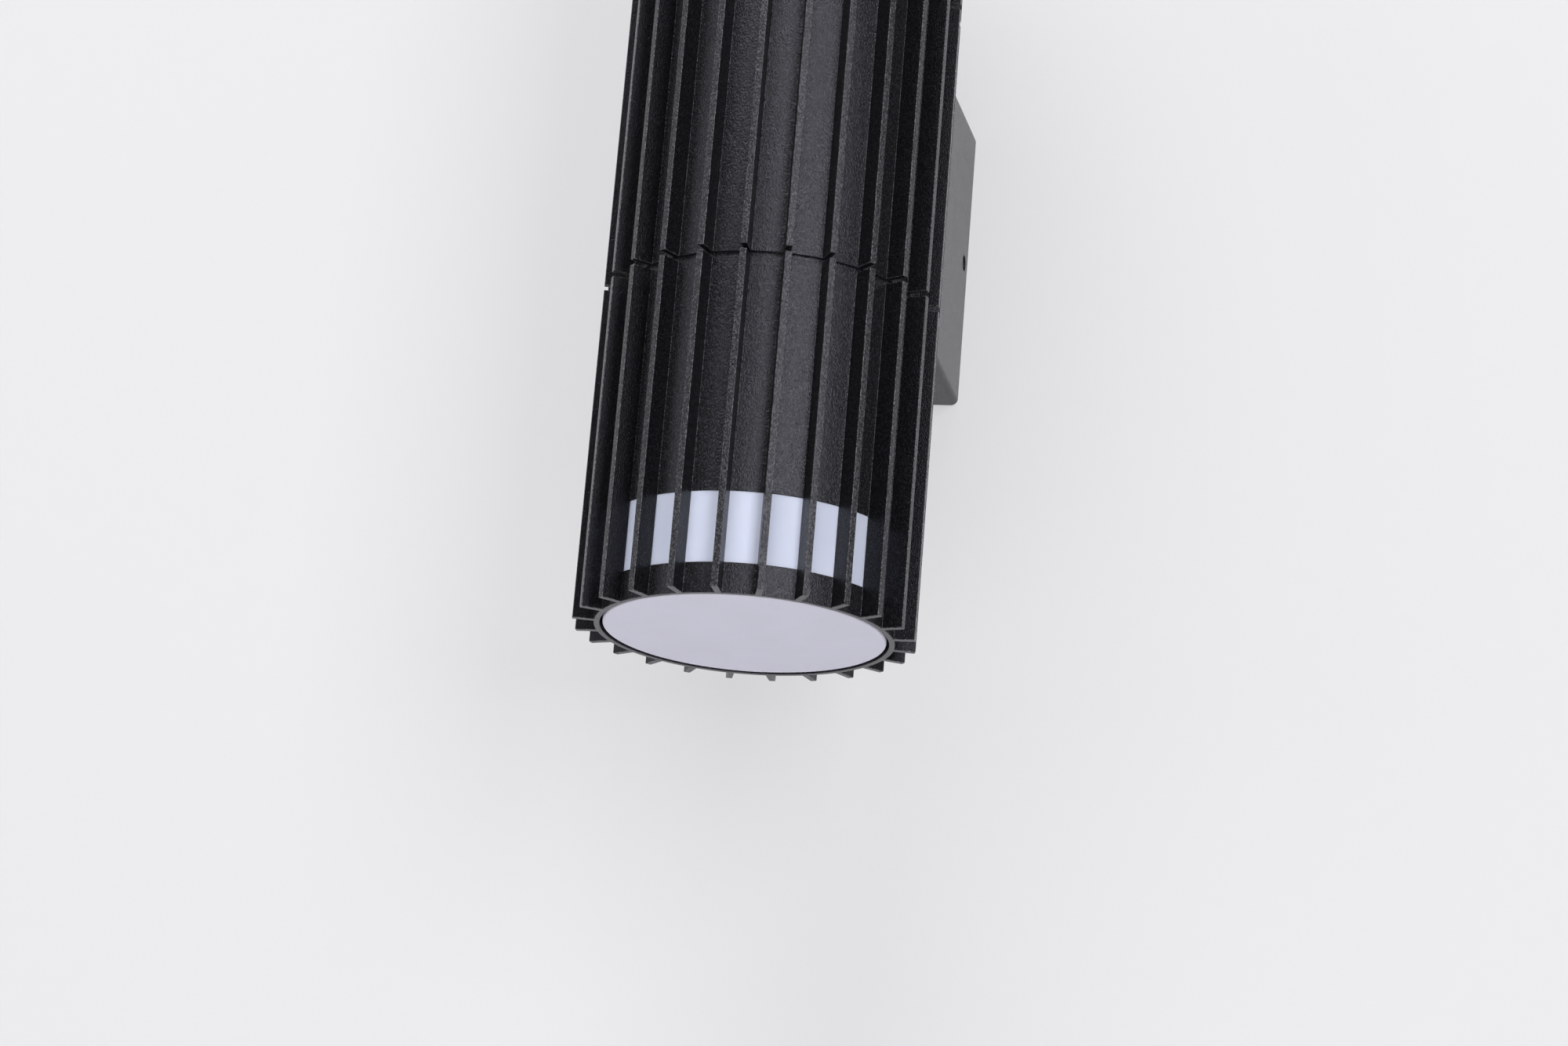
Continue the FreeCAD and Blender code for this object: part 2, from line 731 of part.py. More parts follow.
def make_carrier(end):
    """The disc that the board sits on, with a rim that the opal cup slides over."""
    body = new_body(end + "_carrier")
    groove_low = "carrier_seat - seal_height - seal_radius"
    groove_high = "carrier_seat - seal_height + seal_radius"
    groove_floor = "seal_circle_radius - seal_radius"
    revolve(body, [
        ("web_bore_radius", "carrier_seat"),
        ("carrier_rim_bore", "carrier_seat"),
        ("carrier_rim_bore", "carrier_seat - carrier_rim_height"),
        ("carrier_rim_radius", "carrier_seat - carrier_rim_height"),
        ("carrier_rim_radius", groove_low),
        (groove_floor, groove_low),
        (groove_floor, groove_high),
        ("carrier_rim_radius", groove_high),
        ("carrier_rim_radius", "carrier_seat"),
        ("spigot_radius", "carrier_seat"),
        ("spigot_radius", "carrier_back"),
        ("web_bore_radius", "carrier_back"),
    ])
    hole = new_sketch(body)
    draw_circle(hole, "screw_hole_radius", "0", "standoff_circle_radius")
    polar(body, [pocket(body, hole, backwards=True)], "standoff_count")
    place_at_end(body, end)


def make_seal(end):
    """The rubber ring round the carrier's rim."""
    ring = doc.addObject("Part::Torus", "ring")
    bind(ring, Radius1="seal_circle_radius", Radius2="seal_radius")
    keep(end + "_seal", place_at_end(ring, end, "carrier_seat - seal_height"))


def make_board(end):
    """The round board that carries the LEDs."""
    body = new_body(end + "_led_board")
    sketch = new_sketch(body, offset="carrier_seat")
    draw_circle(sketch, "board_radius")
    pad(body, sketch, "board_thickness", backwards=True)
    hole = new_sketch(body)
    draw_circle(hole, "screw_hole_radius", "0", "standoff_circle_radius")
    polar(body, [pocket(body, hole, backwards=True)], "standoff_count")
    place_at_end(body, end)


def make_chips(end):
    """The ring of LEDs on the board."""
    body = new_body(end + "_led_chips")
    face = "carrier_seat - board_thickness"
    chip = add_block(body, "chip_circle_radius - chip_depth / 2",
                     "chip_circle_radius + chip_depth / 2", "-chip_width / 2", "chip_width / 2",
                     face + " - chip_thickness", face)
    polar(body, [chip], "chip_count")
    place_at_end(body, end)


def make_window_band(end):
    """The opal strip sprung into the ring of windows, its split behind the rearmost fin."""
    body = new_body(end + "_window_band")
    low, high = "window_start + fit_gap", "window_end - fit_gap"
    revolve(body, [("band_bore", low), ("band_radius", low),
                   ("band_radius", high), ("band_bore", high)])
    split = new_sketch(body)
    inner, outer = "band_bore - overrun", "band_radius + overrun"
    if end == "lower":
        draw_rectangle(split, "-band_split / 2", "band_split / 2", inner, outer)
    else:
        draw_rectangle(split, "-band_split / 2", "band_split / 2",
                       "-(" + outer + ")", "-(" + inner + ")")
    pocket(body, split, backwards=True)
    place_at_end(body, end)


def make_diffuser(end):
    """The opal cup: its face closes the tube's end and its wall lights the windows."""
    body = new_body(end + "_diffuser")
    top = "carrier_seat - cup_end_gap"
    face, floor = "cup_recess", "cup_recess + cup_face"
    cup = revolve(body, [("0", face), ("cup_radius", face), ("cup_radius", top),
                         ("cup_bore", top), ("cup_bore", floor), ("0", floor)])
    limit = value("cup_radius") - value("cup_wall") / 2

    def outer_end_edge(edge):
        box = edge.BoundBox
        return box.ZMax < value("cup_face") / 2 and box.XMax > limit and box.YMax > limit

    round_edges(body, cup, "cup_edge_round", outer_end_edge)
    place_at_end(body, end)


# Driver in the barrel

def make_driver():
    """The LED power supply, a plain sealed box with sockets for its wires."""
    body = new_body("driver")
    case = add_block(body, "-driver_width / 2", "driver_width / 2", "-driver_front",
                     "driver_back", "-driver_height / 2", "driver_height / 2")

    def upright(edge):
        return edge.BoundBox.ZLength > value("driver_height") / 2

    round_edges(body, case, "driver_round", upright)
    mains = new_sketch(body, "XZ_Plane", "-driver_back")
    for side in ("", "-"):
        draw_circle(mains, "mains_wire_radius + fit_gap", side + "mains_wire_spread")
    pocket(body, mains, "driver_socket_depth", backwards=True)
    for offset, backwards in (("driver_height / 2", False), ("-driver_height / 2", True)):
        leads = new_sketch(body, offset=offset)
        for side in ("", "-"):
            draw_circle(leads, "lead_radius + fit_gap", side + "lead_spread", "-lead_offset")
        pocket(body, leads, "driver_socket_depth", backwards=backwards)
    holes = new_sketch(body, "XZ_Plane", "driver_front")
    for side in ("", "-"):
        draw_circle(holes, "driver_screw_radius + fit_gap", "0",
                    side + "driver_screw_spacing / 2")
    pocket(body, holes, "driver_screw_grip + screw_hole_spare")
    place(body, "0", "-axis_standoff")


def make_driver_bracket():
    """A folded strip that hangs the driver from the upper coupling."""
    body = new_body("driver_bracket")
    back = "-driver_front"
    add_block(body, "-bracket_width / 2", "bracket_width / 2", back + " - bracket_sheet", back,
              "-driver_height / 2", "web_inner_face")
    add_block(body, "-bracket_width / 2", "bracket_width / 2", back, back + " + bracket_foot",
              "web_inner_face - bracket_sheet", "web_inner_face")
    holes = new_sketch(body, "XZ_Plane")
    for side in ("", "-"):
        draw_circle(holes, "driver_screw_radius + fit_gap", "0",
                    side + "driver_screw_spacing / 2")
    pocket(body, holes, backwards=True)
    foot_holes = new_sketch(body)
    for side in ("", "-"):
        draw_circle(foot_holes, "driver_screw_radius + fit_gap", side + "bracket_hole_across",
                    "-bracket_hole_along")
    pocket(body, foot_holes, backwards=True)
    place(body, "0", "-axis_standoff")


def make_driver_screws():
    """Two screws that hold the driver to its bracket, and two that hold the bracket's foot."""
    front = make_screws("driver_screws", "driver_screw_radius",
                        "bracket_sheet + driver_screw_grip", "driver_screw_head_radius",
                        "driver_screw_head_height", "recess_radius", "recess_depth",
                        "driver_screw_spacing / 2", "2")
    facing_wall(front, "0", "-axis_standoff - driver_front - bracket_sheet", away=True)
    foot = make_screws("bracket_screws", "driver_screw_radius", "bracket_sheet + web_thickness",
                       "driver_screw_head_radius", "driver_screw_head_height", "recess_radius",
                       "recess_depth", "bracket_hole_across", "2")
    place(foot, "0", "-axis_standoff - bracket_hole_along", "web_inner_face - bracket_sheet",
          Vector(1, 0, 0), 180)


# Wall box

def make_wall_box():
    """The cast box: hollow towards the wall, with a neck that fits the tube."""
    body = new_body("wall_box")
    shell = body.newObject("PartDesign::AdditiveWedge", "shell")
    bind(shell, Ymin="-box_depth", Ymax="-box_rim_gap",
         Xmin="-box_front_width / 2", Xmax="box_front_width / 2",
         Zmin="-box_front_height / 2", Zmax="box_front_height / 2",
         X2min="-box_width / 2", X2max="box_width / 2",
         Z2min="-box_height / 2", Z2max="box_height / 2")
    rear = -value("box_rim_gap") - value("fit_gap")
    round_edges(body, shell, "box_round", lambda edge: edge.BoundBox.YMin < rear)
    cavity = body.newObject("PartDesign::SubtractiveWedge", "cavity")
    bind(cavity, Ymin="-box_front_inside", Ymax="overrun",
         Xmin="-box_front_width / 2 + box_wall", Xmax="box_front_width / 2 - box_wall",
         Zmin="-box_front_height / 2 + box_wall", Zmax="box_front_height / 2 - box_wall",
         X2min="-box_width / 2 + box_wall", X2max="box_width / 2 - box_wall",
         Z2min="-box_height / 2 + box_wall", Z2max="box_height / 2 - box_wall")
    body.Tip = cavity
    add_block(body, "-gasket_outer_width / 2 - fit_gap", "gasket_outer_width / 2 + fit_gap",
              "-wall_gasket_thickness", "overrun", "-gasket_outer_height / 2 - fit_gap",
              "gasket_outer_height / 2 + fit_gap", cut=True)
    add_block(body, "-neck_width / 2", "neck_width / 2", "-neck_front",
              "-box_depth + box_wall / 2", "-neck_height / 2", "neck_height / 2")
    saddle = body.newObject("PartDesign::SubtractiveCylinder", "saddle")
    saddle.AttachmentSupport = [(origin_part(body, "XY_Plane"), "")]
    saddle.MapMode = "FlatFace"
    bind(saddle, Radius="neck_face_radius", Height="neck_height + 2 * overrun",
         AttachmentOffset__Base__y="-axis_standoff",
         AttachmentOffset__Base__z="-neck_height / 2 - overrun")
    body.Tip = saddle
    boss = new_sketch(body, "XZ_Plane", "earth_seat")
    draw_circle(boss, "earth_boss_radius", "earth_across", "-earth_down")
    pad(body, boss, "earth_boss_height + box_wall / 2")
    ways = new_sketch(body, "XZ_Plane")
    draw_circle(ways, "neck_hole_radius")
    for side in ("", "-"):
        draw_circle(ways, "box_screw_hole_radius", "0", side + "box_screw_spacing / 2")
    pocket(body, ways, backwards=True)
    earth_hole = new_sketch(body, "XZ_Plane", "earth_seat")
    draw_circle(earth_hole, "earth_screw_radius + fit_gap", "earth_across", "-earth_down")
    pocket(body, earth_hole, "earth_screw_grip + screw_hole_spare / 2", backwards=True)
    block_hole = new_sketch(body, "XZ_Plane", "box_front_inside")
    draw_circle(block_hole, "block_screw_radius + fit_gap", "-block_centre", "pole_pitch / 2")
    pocket(body, block_hole, "block_screw_bite + fit_gap", backwards=True)
    lock_holes = new_sketch(body, "YZ_Plane")
    draw_circle(lock_holes, "lock_radius + fit_gap", "-lock_from_wall")
    pocket(body, lock_holes, both_ways=True)
    place(body)


def make_wall_gasket():
    """The foam frame in the box's rim that seals it to the wall."""
    body = new_body("wall_gasket")
    sketch = new_sketch(body, "XZ_Plane")
    draw_rectangle(sketch, "-gasket_outer_width / 2", "gasket_outer_width / 2",
                   "-gasket_outer_height / 2", "gasket_outer_height / 2")
    draw_rectangle(sketch, "-box_width / 2 + box_wall + fit_gap",
                   "box_width / 2 - box_wall - fit_gap",
                   "-box_height / 2 + box_wall + fit_gap",
                   "box_height / 2 - box_wall - fit_gap")
    pad(body, sketch, "wall_gasket_thickness")
    place(body)


def curved_sheet(inner_radius, outer_radius, width, height):
    """A piece of a ring round the lamp's axis, as wide as a block, on its wall side."""
    outer = primitive_cylinder(outer_radius, height, "0", "-axis_standoff", "-" + height + " / 2")
    inner = primitive_cylinder(inner_radius, height, "0", "-axis_standoff", "-" + height + " / 2")
    window = primitive_block("-" + width + " / 2", width + " / 2", "-axis_standoff", "0",
                             "-" + height + " / 2", height + " / 2")
    return combine("Common", combine("Cut", outer, inner), window)


def drill_along_wall(shape, radius, heights):
    """Holes through a shape, square to the wall, at several heights."""
    for up in heights:
        tool = primitive_cylinder(radius, "axis_standoff", "0", "0", up, Vector(1, 0, 0), 90)
        shape = combine("Cut", shape, tool)
    return shape


def make_neck_gasket():
    """The curved rubber sheet between the box's neck and the tube."""
    sheet_shape = curved_sheet("(tube_radius + fit_gap)", "(neck_face_radius - fit_gap)",
                               "(neck_width - neck_lip)", "(neck_height - neck_lip)")
    drilled = drill_along_wall(sheet_shape, "box_screw_hole_radius",
                               ["box_screw_spacing / 2", "-box_screw_spacing / 2"])
    keep("neck_gasket", drill_along_wall(drilled, "neck_hole_radius", ["0"]))


def make_clamp_plate():
    """The threaded bar inside the barrel that the box screws pull against."""
    bar = curved_sheet("clamp_inner_face", "clamp_face_radius", "clamp_width", "clamp_height")
    drilled = drill_along_wall(bar, "box_screw_radius + fit_gap",
                               ["box_screw_spacing / 2", "-box_screw_spacing / 2"])
    keep("clamp_plate", drill_along_wall(drilled, "neck_hole_radius", ["0"]))


def make_box_screws():
    """The two screws from inside the box, through its neck, into the clamp plate."""
    body = make_screws("box_screws", "box_screw_radius", "box_screw_length",
                       "box_screw_head_radius", "box_screw_head_height",
                       "box_screw_recess_radius", "box_screw_recess_depth",
                       "box_screw_spacing / 2", "2")
    facing_wall(body, "0", "-box_front_inside + washer_thickness")


def make_box_washers():
    """The washers under the box screws' heads."""
    body = new_body("box_washers")
    hole, rim = "box_screw_hole_radius", "washer_radius"
    ring = revolve(body, [(hole, "0"), (rim, "0"), (rim, "washer_thickness"),
                          (hole, "washer_thickness")], "box_screw_spacing / 2")
    polar(body, [ring], "2")
    facing_wall(body, "0", "-box_front_inside")


def make_bush(label, hole, wall, length):
    """A rubber bush in a hole: a flange on the seat plane and a waist going down from it."""
    body = new_body(label)
    bore, waist = hole + " - " + wall, hole + " - fit_gap"
    flange, tail = hole + " + grommet_flange", "-(" + length + ")"
    revolve(body, [(bore, tail), (waist, tail), (waist, "0"), (flange, "0"),
                   (flange, "grommet_flange_thickness"), (bore, "grommet_flange_thickness")])
    return body


def make_neck_grommet():
    """The bush that carries the mains wires through the neck, with its flange in the box."""
    body = make_bush("neck_grommet", "neck_hole_radius", "grommet_wall",
                     "axis_standoff - clamp_inner_face - box_front_inside")
    facing_wall(body, "0", "-box_front_inside")


# Wall plate and lock screws

def make_wall_plate():
    """The folded steel plate that is screwed to the wall, with two tabs for the lock screws."""
    body = new_body("wall_plate")
    sketch = new_sketch(body, "XZ_Plane")
    draw_rectangle(sketch, "-plate_width / 2", "plate_width / 2", "-plate_height / 2",
                   "plate_height / 2")
    base = pad(body, sketch, "plate_sheet")

    def corner(edge):
        return edge.BoundBox.YLength > value("plate_sheet") / 2

    round_edges(body, base, "plate_corner_round", corner)
    for left, right in (("-plate_width / 2", "-plate_width / 2 + plate_sheet"),
                        ("plate_width / 2 - plate_sheet", "plate_width / 2")):
        add_block(body, left, right, "-tab_reach", "-plate_sheet / 2", "-tab_height / 2",
                  "tab_height / 2")
    slots = new_sketch(body, "XZ_Plane")
    for side in ("-", ""):
        draw_slot(slots, side + "slot_spacing / 2", "slot_length", "slot_radius")
    draw_circle(slots, "entry_hole_radius")
    pocket(body, slots, backwards=True)
    place(body)


def make_entry_grommet():
    """The bush in the wall plate that the supply cable comes through, its flange in the box."""
    body = make_bush("entry_grommet", "entry_hole_radius", "entry_grommet_wall", "plate_sheet")
    facing_wall(body, "0", "-plate_sheet", away=True)


def make_lock_screws():
    """The two socket screws that lock the box to the plate's tabs."""
    length = "lock_outer_end - lock_inner_end"
    for side, turn in (("right", 90), ("left", -90)):
        body = new_body(side + "_lock_screw")
        sketch = new_sketch(body)
        draw_circle(sketch, "lock_radius")
        pad(body, sketch, length)
        socket = new_sketch(body, offset=length)
        draw_hexagon(socket, "2 * lock_socket_radius * cos(30)")
        pocket(body, socket, "lock_socket_depth")
        across = "lock_inner_end" if side == "right" else "-(lock_inner_end)"
        place(body, across, "-lock_from_wall", "0", Vector(0, 1, 0), turn)


# Terminal block and earthing point

def make_terminal_block():
    """A three-pole screw terminal on the inside of the box's front wall."""
    body = new_body("terminal_block")
    left, right = "-block_centre - block_width / 2", "-block_centre + block_width / 2"
    add_block(body, left, right, "-box_front_inside", "-box_front_inside + block_depth",
              "-block_height / 2", "block_height / 2")
    first_pole = "-(pole_count - 1) / 2 * pole_pitch"
    way = new_sketch(body, "YZ_Plane")
    draw_circle(way, "pole_bore_radius", "-pole_from_wall", first_pole)
    bore = pocket(body, way, both_ways=True)
    wells = new_sketch(body, "XZ_Plane", "box_front_inside - block_depth")
    for side in ("+", "-"):
        draw_circle(wells, "pole_screw_radius + pole_screw_gap",
                    "-block_centre " + side + " pole_screw_inset", first_pole)
    well = pocket(body, wells, "block_depth - pole_height", backwards=True)
    row_of(body, [bore, well], "pole_count", "pole_pitch", "Z_Axis")
    fixing = new_sketch(body, "XZ_Plane")
    draw_circle(fixing, "block_screw_radius + fit_gap", "-block_centre", "pole_pitch / 2")
    pocket(body, fixing, both_ways=True)
    place(body)


def make_terminal_screws():
    """The six clamping screws of the terminal block."""
    body = new_body("terminal_screws")
    rows = []
    base = "box_front_inside - pole_height - pole_bore_radius - pole_screw_gap"
    for side in ("+", "-"):
        sketch = new_sketch(body, "XZ_Plane", base)
        draw_circle(sketch, "pole_screw_radius", "-block_centre " + side + " pole_screw_inset",
                    "-(pole_count - 1) / 2 * pole_pitch")
        rows.append(pad(body, sketch, "pole_screw_length", backwards=True))
    row_of(body, rows, "pole_count", "pole_pitch", "Z_Axis")
    place(body)


def make_block_screw():
    """The screw that fixes the terminal block to the box."""
    body = make_screws("block_screw", "block_screw_radius", "block_depth + block_screw_bite",
                       "block_screw_head_radius", "block_screw_head_height", "recess_radius",
                       "recess_depth")
    facing_wall(body, "-block_centre", "-box_front_inside + block_depth", "pole_pitch / 2")


def make_earth_lug():
    """The ring terminal on the earth wire."""
    seat = "-earth_seat"
    ring = primitive_cylinder("lug_radius", "lug_thickness", "earth_across", seat, "-earth_down",
                              Vector(1, 0, 0), -90)
    neck = primitive_block("earth_across - lug_neck_length", "earth_across", seat,
                           seat + " + lug_thickness", "-earth_down - mains_wire_radius",
                           "-earth_down + mains_wire_radius")
    hole = primitive_cylinder("earth_screw_radius + fit_gap", "2 * overrun", "earth_across",
                              seat + " - overrun", "-earth_down", Vector(1, 0, 0), -90)
    keep("earth_lug", combine("Cut", combine("Fuse", ring, neck), hole))


def make_earth_screw():
    """The screw that holds the earth wire's lug to its boss."""
    body = make_screws("earth_screw", "earth_screw_radius", "lug_thickness + earth_screw_grip",
                       "earth_head_radius", "earth_head_height", "recess_radius", "recess_depth")
    facing_wall(body, "earth_across", "-earth_seat + lug_thickness", "-earth_down")


# Wires

# How much of the shorter run beside a bend the bend may use.
WIRE_BEND_SHARE = 0.45

# Where a lead bows out on its way through a head, from the coupling to the board.
LEAD_BOW_SHARES = (0.25, 0.65)
LEAD_BACK_SHARE = 0.85


def wire_along(points, radius):
    """A round wire along straight runs joined by arcs that touch both runs."""
    edges = []
    start = points[0]
    for before, corner, after in zip(points, points[1:], points[2:]):
        inward, outward = corner - before, after - corner
        turn = inward.getAngle(outward)
        setback = WIRE_BEND_SHARE * min(inward.Length, outward.Length)
        bend = setback / math.tan(turn / 2)
        arc_start = corner - inward.normalize() * setback
        arc_end = corner + outward.normalize() * setback
        towards = ((arc_start + arc_end) * 0.5 - corner).normalize()
        middle = corner + towards * (math.hypot(setback, bend) - bend)
        edges.append(Part.LineSegment(start, arc_start).toShape())
        edges.append(Part.Arc(arc_start, middle, arc_end).toShape())
        start = arc_end
        print("bend of radius", round(bend, 2), "in a wire of radius", radius)
    edges.append(Part.LineSegment(start, points[-1]).toShape())
    path = Part.Wire(edges)
    heading = (points[1] - points[0]).normalize()
    section = Part.Wire([Part.Circle(points[0], heading, radius).toShape()])
    wire = path.makePipeShell([section], True, False)
    print("wire volume over section times length:",
          round(wire.Volume / (math.pi * radius ** 2 * path.Length), 4))
    return wire


def make_wires(label, routes, radius):
    """One node of one or more wires, their points given as formulas."""
    size = value(radius)
    wires = []
    for route in routes:
        points = [Vector(value(across), value(along), value(up)) for across, along, up in route]
        wires.append(wire_along(points, size))
    feature = doc.addObject("Part::Feature", label)
    feature.Shape = wires[0] if len(wires) == 1 else Part.makeCompound(wires)
    feature.Placement = FreeCAD.Placement()
    keep(label, feature)


def make_mains_wires():
    """Live and neutral from the terminal block to the driver, and earth to its lug."""
    inside = "-block_inner_side - wire_grip"
    level = "-pole_from_wall"
    socket = "-axis_standoff + driver_back - driver_socket_depth"
    make_wires("neutral_wire", [[
        (inside, level, "0"),
        ("-mains_wire_spread", level, "0"),
        ("-mains_wire_spread", socket, "0"),
    ]], "mains_wire_radius")
    make_wires("live_wire", [[
        (inside, level, "pole_pitch"),
        ("-live_turn_across", level, "pole_pitch"),
        ("mains_wire_spread", level, "0"),
        ("mains_wire_spread", socket, "0"),
    ]], "mains_wire_radius")
    lug_end = "earth_across - lug_neck_length"
    lug_level = "-earth_seat + lug_thickness / 2"
    make_wires("earth_wire", [[
        (inside, level, "-pole_pitch"),
        ("-earth_turn_across", level, "-pole_pitch"),
        (lug_end + " - 2 * lug_run", level + " - mains_wire_radius", "-earth_down"),
        (lug_end + " - lug_run", lug_level, "-earth_down"),
        (lug_end, lug_level, "-earth_down"),
    ]], "mains_wire_radius")


def make_leads(end):
    """The two leads from the driver, through the coupling, to the back of the LED board."""
    sign = "-" if end == "lower" else ""
    web = "web_inner_face + web_thickness"
    board = "lamp_height / 2 - carrier_seat"
    room = "(" + board + " - " + web + ")"
    straight, bowed = "-axis_standoff - lead_offset", "-axis_standoff - lead_offset - lead_bow"
    heights = ["driver_height / 2 - driver_socket_depth", web]
    heights += [web + " + " + str(share) + " * " + room for share in LEAD_BOW_SHARES]
    heights += [web + " + " + str(LEAD_BACK_SHARE) + " * " + room, board]
    levels = [straight, straight, bowed, bowed, straight, straight]
    routes = []
    for side in ("", "-"):
        routes.append([(side + "lead_spread", level, sign + "(" + height + ")")
                       for level, height in zip(levels, heights)])
    make_wires(end + "_leads", routes, "lead_radius")


for label_end in ("lower", "upper"):
    make_head(label_end)
    make_coupling(label_end)
    make_standoffs(label_end)
    make_standoff_screws(label_end)
    make_carrier(label_end)
    make_board(label_end)
    make_board_screws(label_end)
    make_chips(label_end)
    make_seal(label_end)
    make_window_band(label_end)
    make_diffuser(label_end)
    make_leads(label_end)
make_barrel()
make_driver()
make_driver_bracket()
make_driver_screws()
make_wall_box()
make_wall_gasket()
make_neck_gasket()
make_clamp_plate()
make_box_screws()
make_box_washers()
make_neck_grommet()
make_wall_plate()
make_entry_grommet()
make_lock_screws()
make_terminal_block()
make_terminal_screws()
make_block_screw()
make_earth_lug()
make_earth_screw()
make_mains_wires()
doc.recompute()

for thing in doc.Objects:
    if "Invalid" in thing.State or "Error" in thing.State:
        raise RuntimeError(thing.Name + " failed: " + str(thing.State))
for label, thing in nodes.items():
    if thing.Shape.isNull() or not thing.Shape.isValid():
        raise RuntimeError(label + " has no valid shape")

os.makedirs("parts", exist_ok=True)
for label, thing in nodes.items():
    thing.Shape.exportStep("parts/" + label + ".step")
print(len(nodes), "nodes written")
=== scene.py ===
import json
import math

import bmesh
import bpy
from mathutils import Matrix, Vector


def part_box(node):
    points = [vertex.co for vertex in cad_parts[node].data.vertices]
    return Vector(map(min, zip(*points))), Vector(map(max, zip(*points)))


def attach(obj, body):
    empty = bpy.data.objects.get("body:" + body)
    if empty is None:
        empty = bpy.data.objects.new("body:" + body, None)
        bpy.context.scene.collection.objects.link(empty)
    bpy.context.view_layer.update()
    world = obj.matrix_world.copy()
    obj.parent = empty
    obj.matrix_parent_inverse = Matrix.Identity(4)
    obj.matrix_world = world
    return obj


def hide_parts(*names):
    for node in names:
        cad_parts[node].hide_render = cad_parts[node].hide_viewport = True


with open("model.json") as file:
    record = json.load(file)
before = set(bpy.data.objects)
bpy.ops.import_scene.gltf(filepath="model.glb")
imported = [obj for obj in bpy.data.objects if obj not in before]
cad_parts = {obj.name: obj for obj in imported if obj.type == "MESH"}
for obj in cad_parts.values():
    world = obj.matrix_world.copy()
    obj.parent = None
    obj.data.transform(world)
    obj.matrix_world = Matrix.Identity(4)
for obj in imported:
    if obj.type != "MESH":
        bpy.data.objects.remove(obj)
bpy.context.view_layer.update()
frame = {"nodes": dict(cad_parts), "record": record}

MM = 0.001
EVEN = (1, 1, 1)

# Sizes of the finned tube, the same as the model's.
FIN_COUNT = 24
FIN_THICKNESS = 2.0 * MM
FIN_TIP_RADIUS = 50.0 * MM
FIN_DEPTH = 6.25 * MM
FIN_BITE = 0.2 * MM
TUBE_WALL = 1.75 * MM
TUBE_RADIUS = FIN_TIP_RADIUS - FIN_DEPTH
FIN_ROOT_RADIUS = TUBE_RADIUS - FIN_BITE
BORE_RADIUS = TUBE_RADIUS - TUBE_WALL
WINDOW_START = 9.0 * MM
WINDOW_HEIGHT = 21.0 * MM
MILLED_HALF_HEIGHT = 27.0 * MM
AXIS_STANDOFF = 94.0 * MM

# How the section is cut into blocks. Fins are counted from the one straight towards the wall.
FIRST_FIN_ANGLE = math.radians(90)
FULL_TURN = 2 * math.pi
GAP_STEPS = 6
SAME_POINT_DIGITS = 9
MIDDLE_ZONE = 1
MILLED_FINS = (0, 1, FIN_COUNT - 1)

# The rounding of sharp edges.
EDGE_ROUND = 0.28 * MM
BEVEL_STEPS = 2
SHARP_ANGLE = math.radians(30)
FLAT_FACE_WEIGHT = 100

# The coats of a finned length, and how far out those of the fins reach. Besides the main coat they
# hold painted light and shade: a lighter sawn end, lighter rounded edges and fin tips, and darker
# fin sides.
TUBE_COATS = ("powder_black", "powder_end_reflection", "powder_edge_highlight", "powder_root", "powder_fin_shade",
              "powder_tip_lit")
MAIN_COAT, END_REFLECTION_COAT, EDGE_HIGHLIGHT_COAT, ROOT_COAT, FIN_SHADE_COAT, TIP_LIT_COAT = range(len(TUBE_COATS))
FIN_SIDE_START = TUBE_RADIUS + EDGE_ROUND
ROOT_COAT_END = FIN_SIDE_START + EDGE_ROUND
TIP_COAT_START = FIN_TIP_RADIUS - EDGE_ROUND

# The camera's place, as fitted to the photograph, from a point on the lamp's axis.
CAMERA_AZIMUTH = math.radians(10.58)
CAMERA_ELEVATION = math.radians(16.957)
CAMERA_ROLL = math.radians(4.7226)
CAMERA_DISTANCE = 1202.08 * MM
CAMERA_ACROSS = 3.652 * MM
CAMERA_DOWN = 62.792 * MM
CAMERA_CLIP = 10.0 * MM
AIM_HEIGHT = -50.0 * MM
SENSOR_WIDTH = 36.0
LENS = 93.12

# The stage, in metres, and its paint.
FLOOR_HEIGHT = -1.6
STAGE_SIZE = 8.0
WALL_GAP = 0.5 * MM
WALL_COLOUR = (0.80, 0.80, 0.815)
FLOOR_COLOUR = (0.80, 0.80, 0.81)
BACKDROP_ROUGHNESS = 0.95
BACKDROP_SHEEN = 0.1
BACKDROP_SEEN_SHARE = 0.4
BACKDROP_GLOW = 0.605
WORLD_COLOUR = (0.93, 0.93, 0.97)
WORLD_STRENGTH = 0.1
WORLD_SEEN_STRENGTH = 0.8

# Each lamp's direction from the light in degrees, its distance and size in metres, and its watts.
LAMPS = {
    "high_lamp": {"azimuth": -14, "elevation": 50, "distance": 2.6, "width": 1.8, "height": 1.4,
                  "power": 45},
    "front_lamp": {"azimuth": 33, "elevation": 9, "distance": 2.8, "width": 1.1, "height": 2.0,
                   "power": 42},
    "left_lamp": {"azimuth": -57, "elevation": 12, "distance": 2.6, "width": 1.1, "height": 1.8,
                  "power": 11},
    "low_lamp": {"azimuth": 0, "elevation": -50, "distance": 2.0, "width": 1.8, "height": 1.6,
                 "power": 12.7},
}

# The powder coat: its grains, its relief and its gloss.
COAT_FINE_GRAIN = 0.22 * MM
COAT_COARSE_GRAIN = 0.44 * MM
COAT_PATCH = 6.0 * MM
COAT_STRETCH = (1, 1, 0.6)
PIT_SHARE = 0.47
GRAIN_SHARE = 0.64
FINE_GRAIN_SHARE = 0.4
PATCH_SHARE = 0.3
COAT_ROUGHNESS_SWING = 0.13
COAT_SHEEN_COLOUR = (0.86, 0.87, 1.0)
COAT_SHEEN = 0.5
FIN_COAT_SHEEN = 0.3
COAT_BUMP = 1.0
COAT_DEPTH = 0.15 * MM
EDGE_COAT_DEPTH = 0.08 * MM
END_COAT_DEPTH = 0.03 * MM

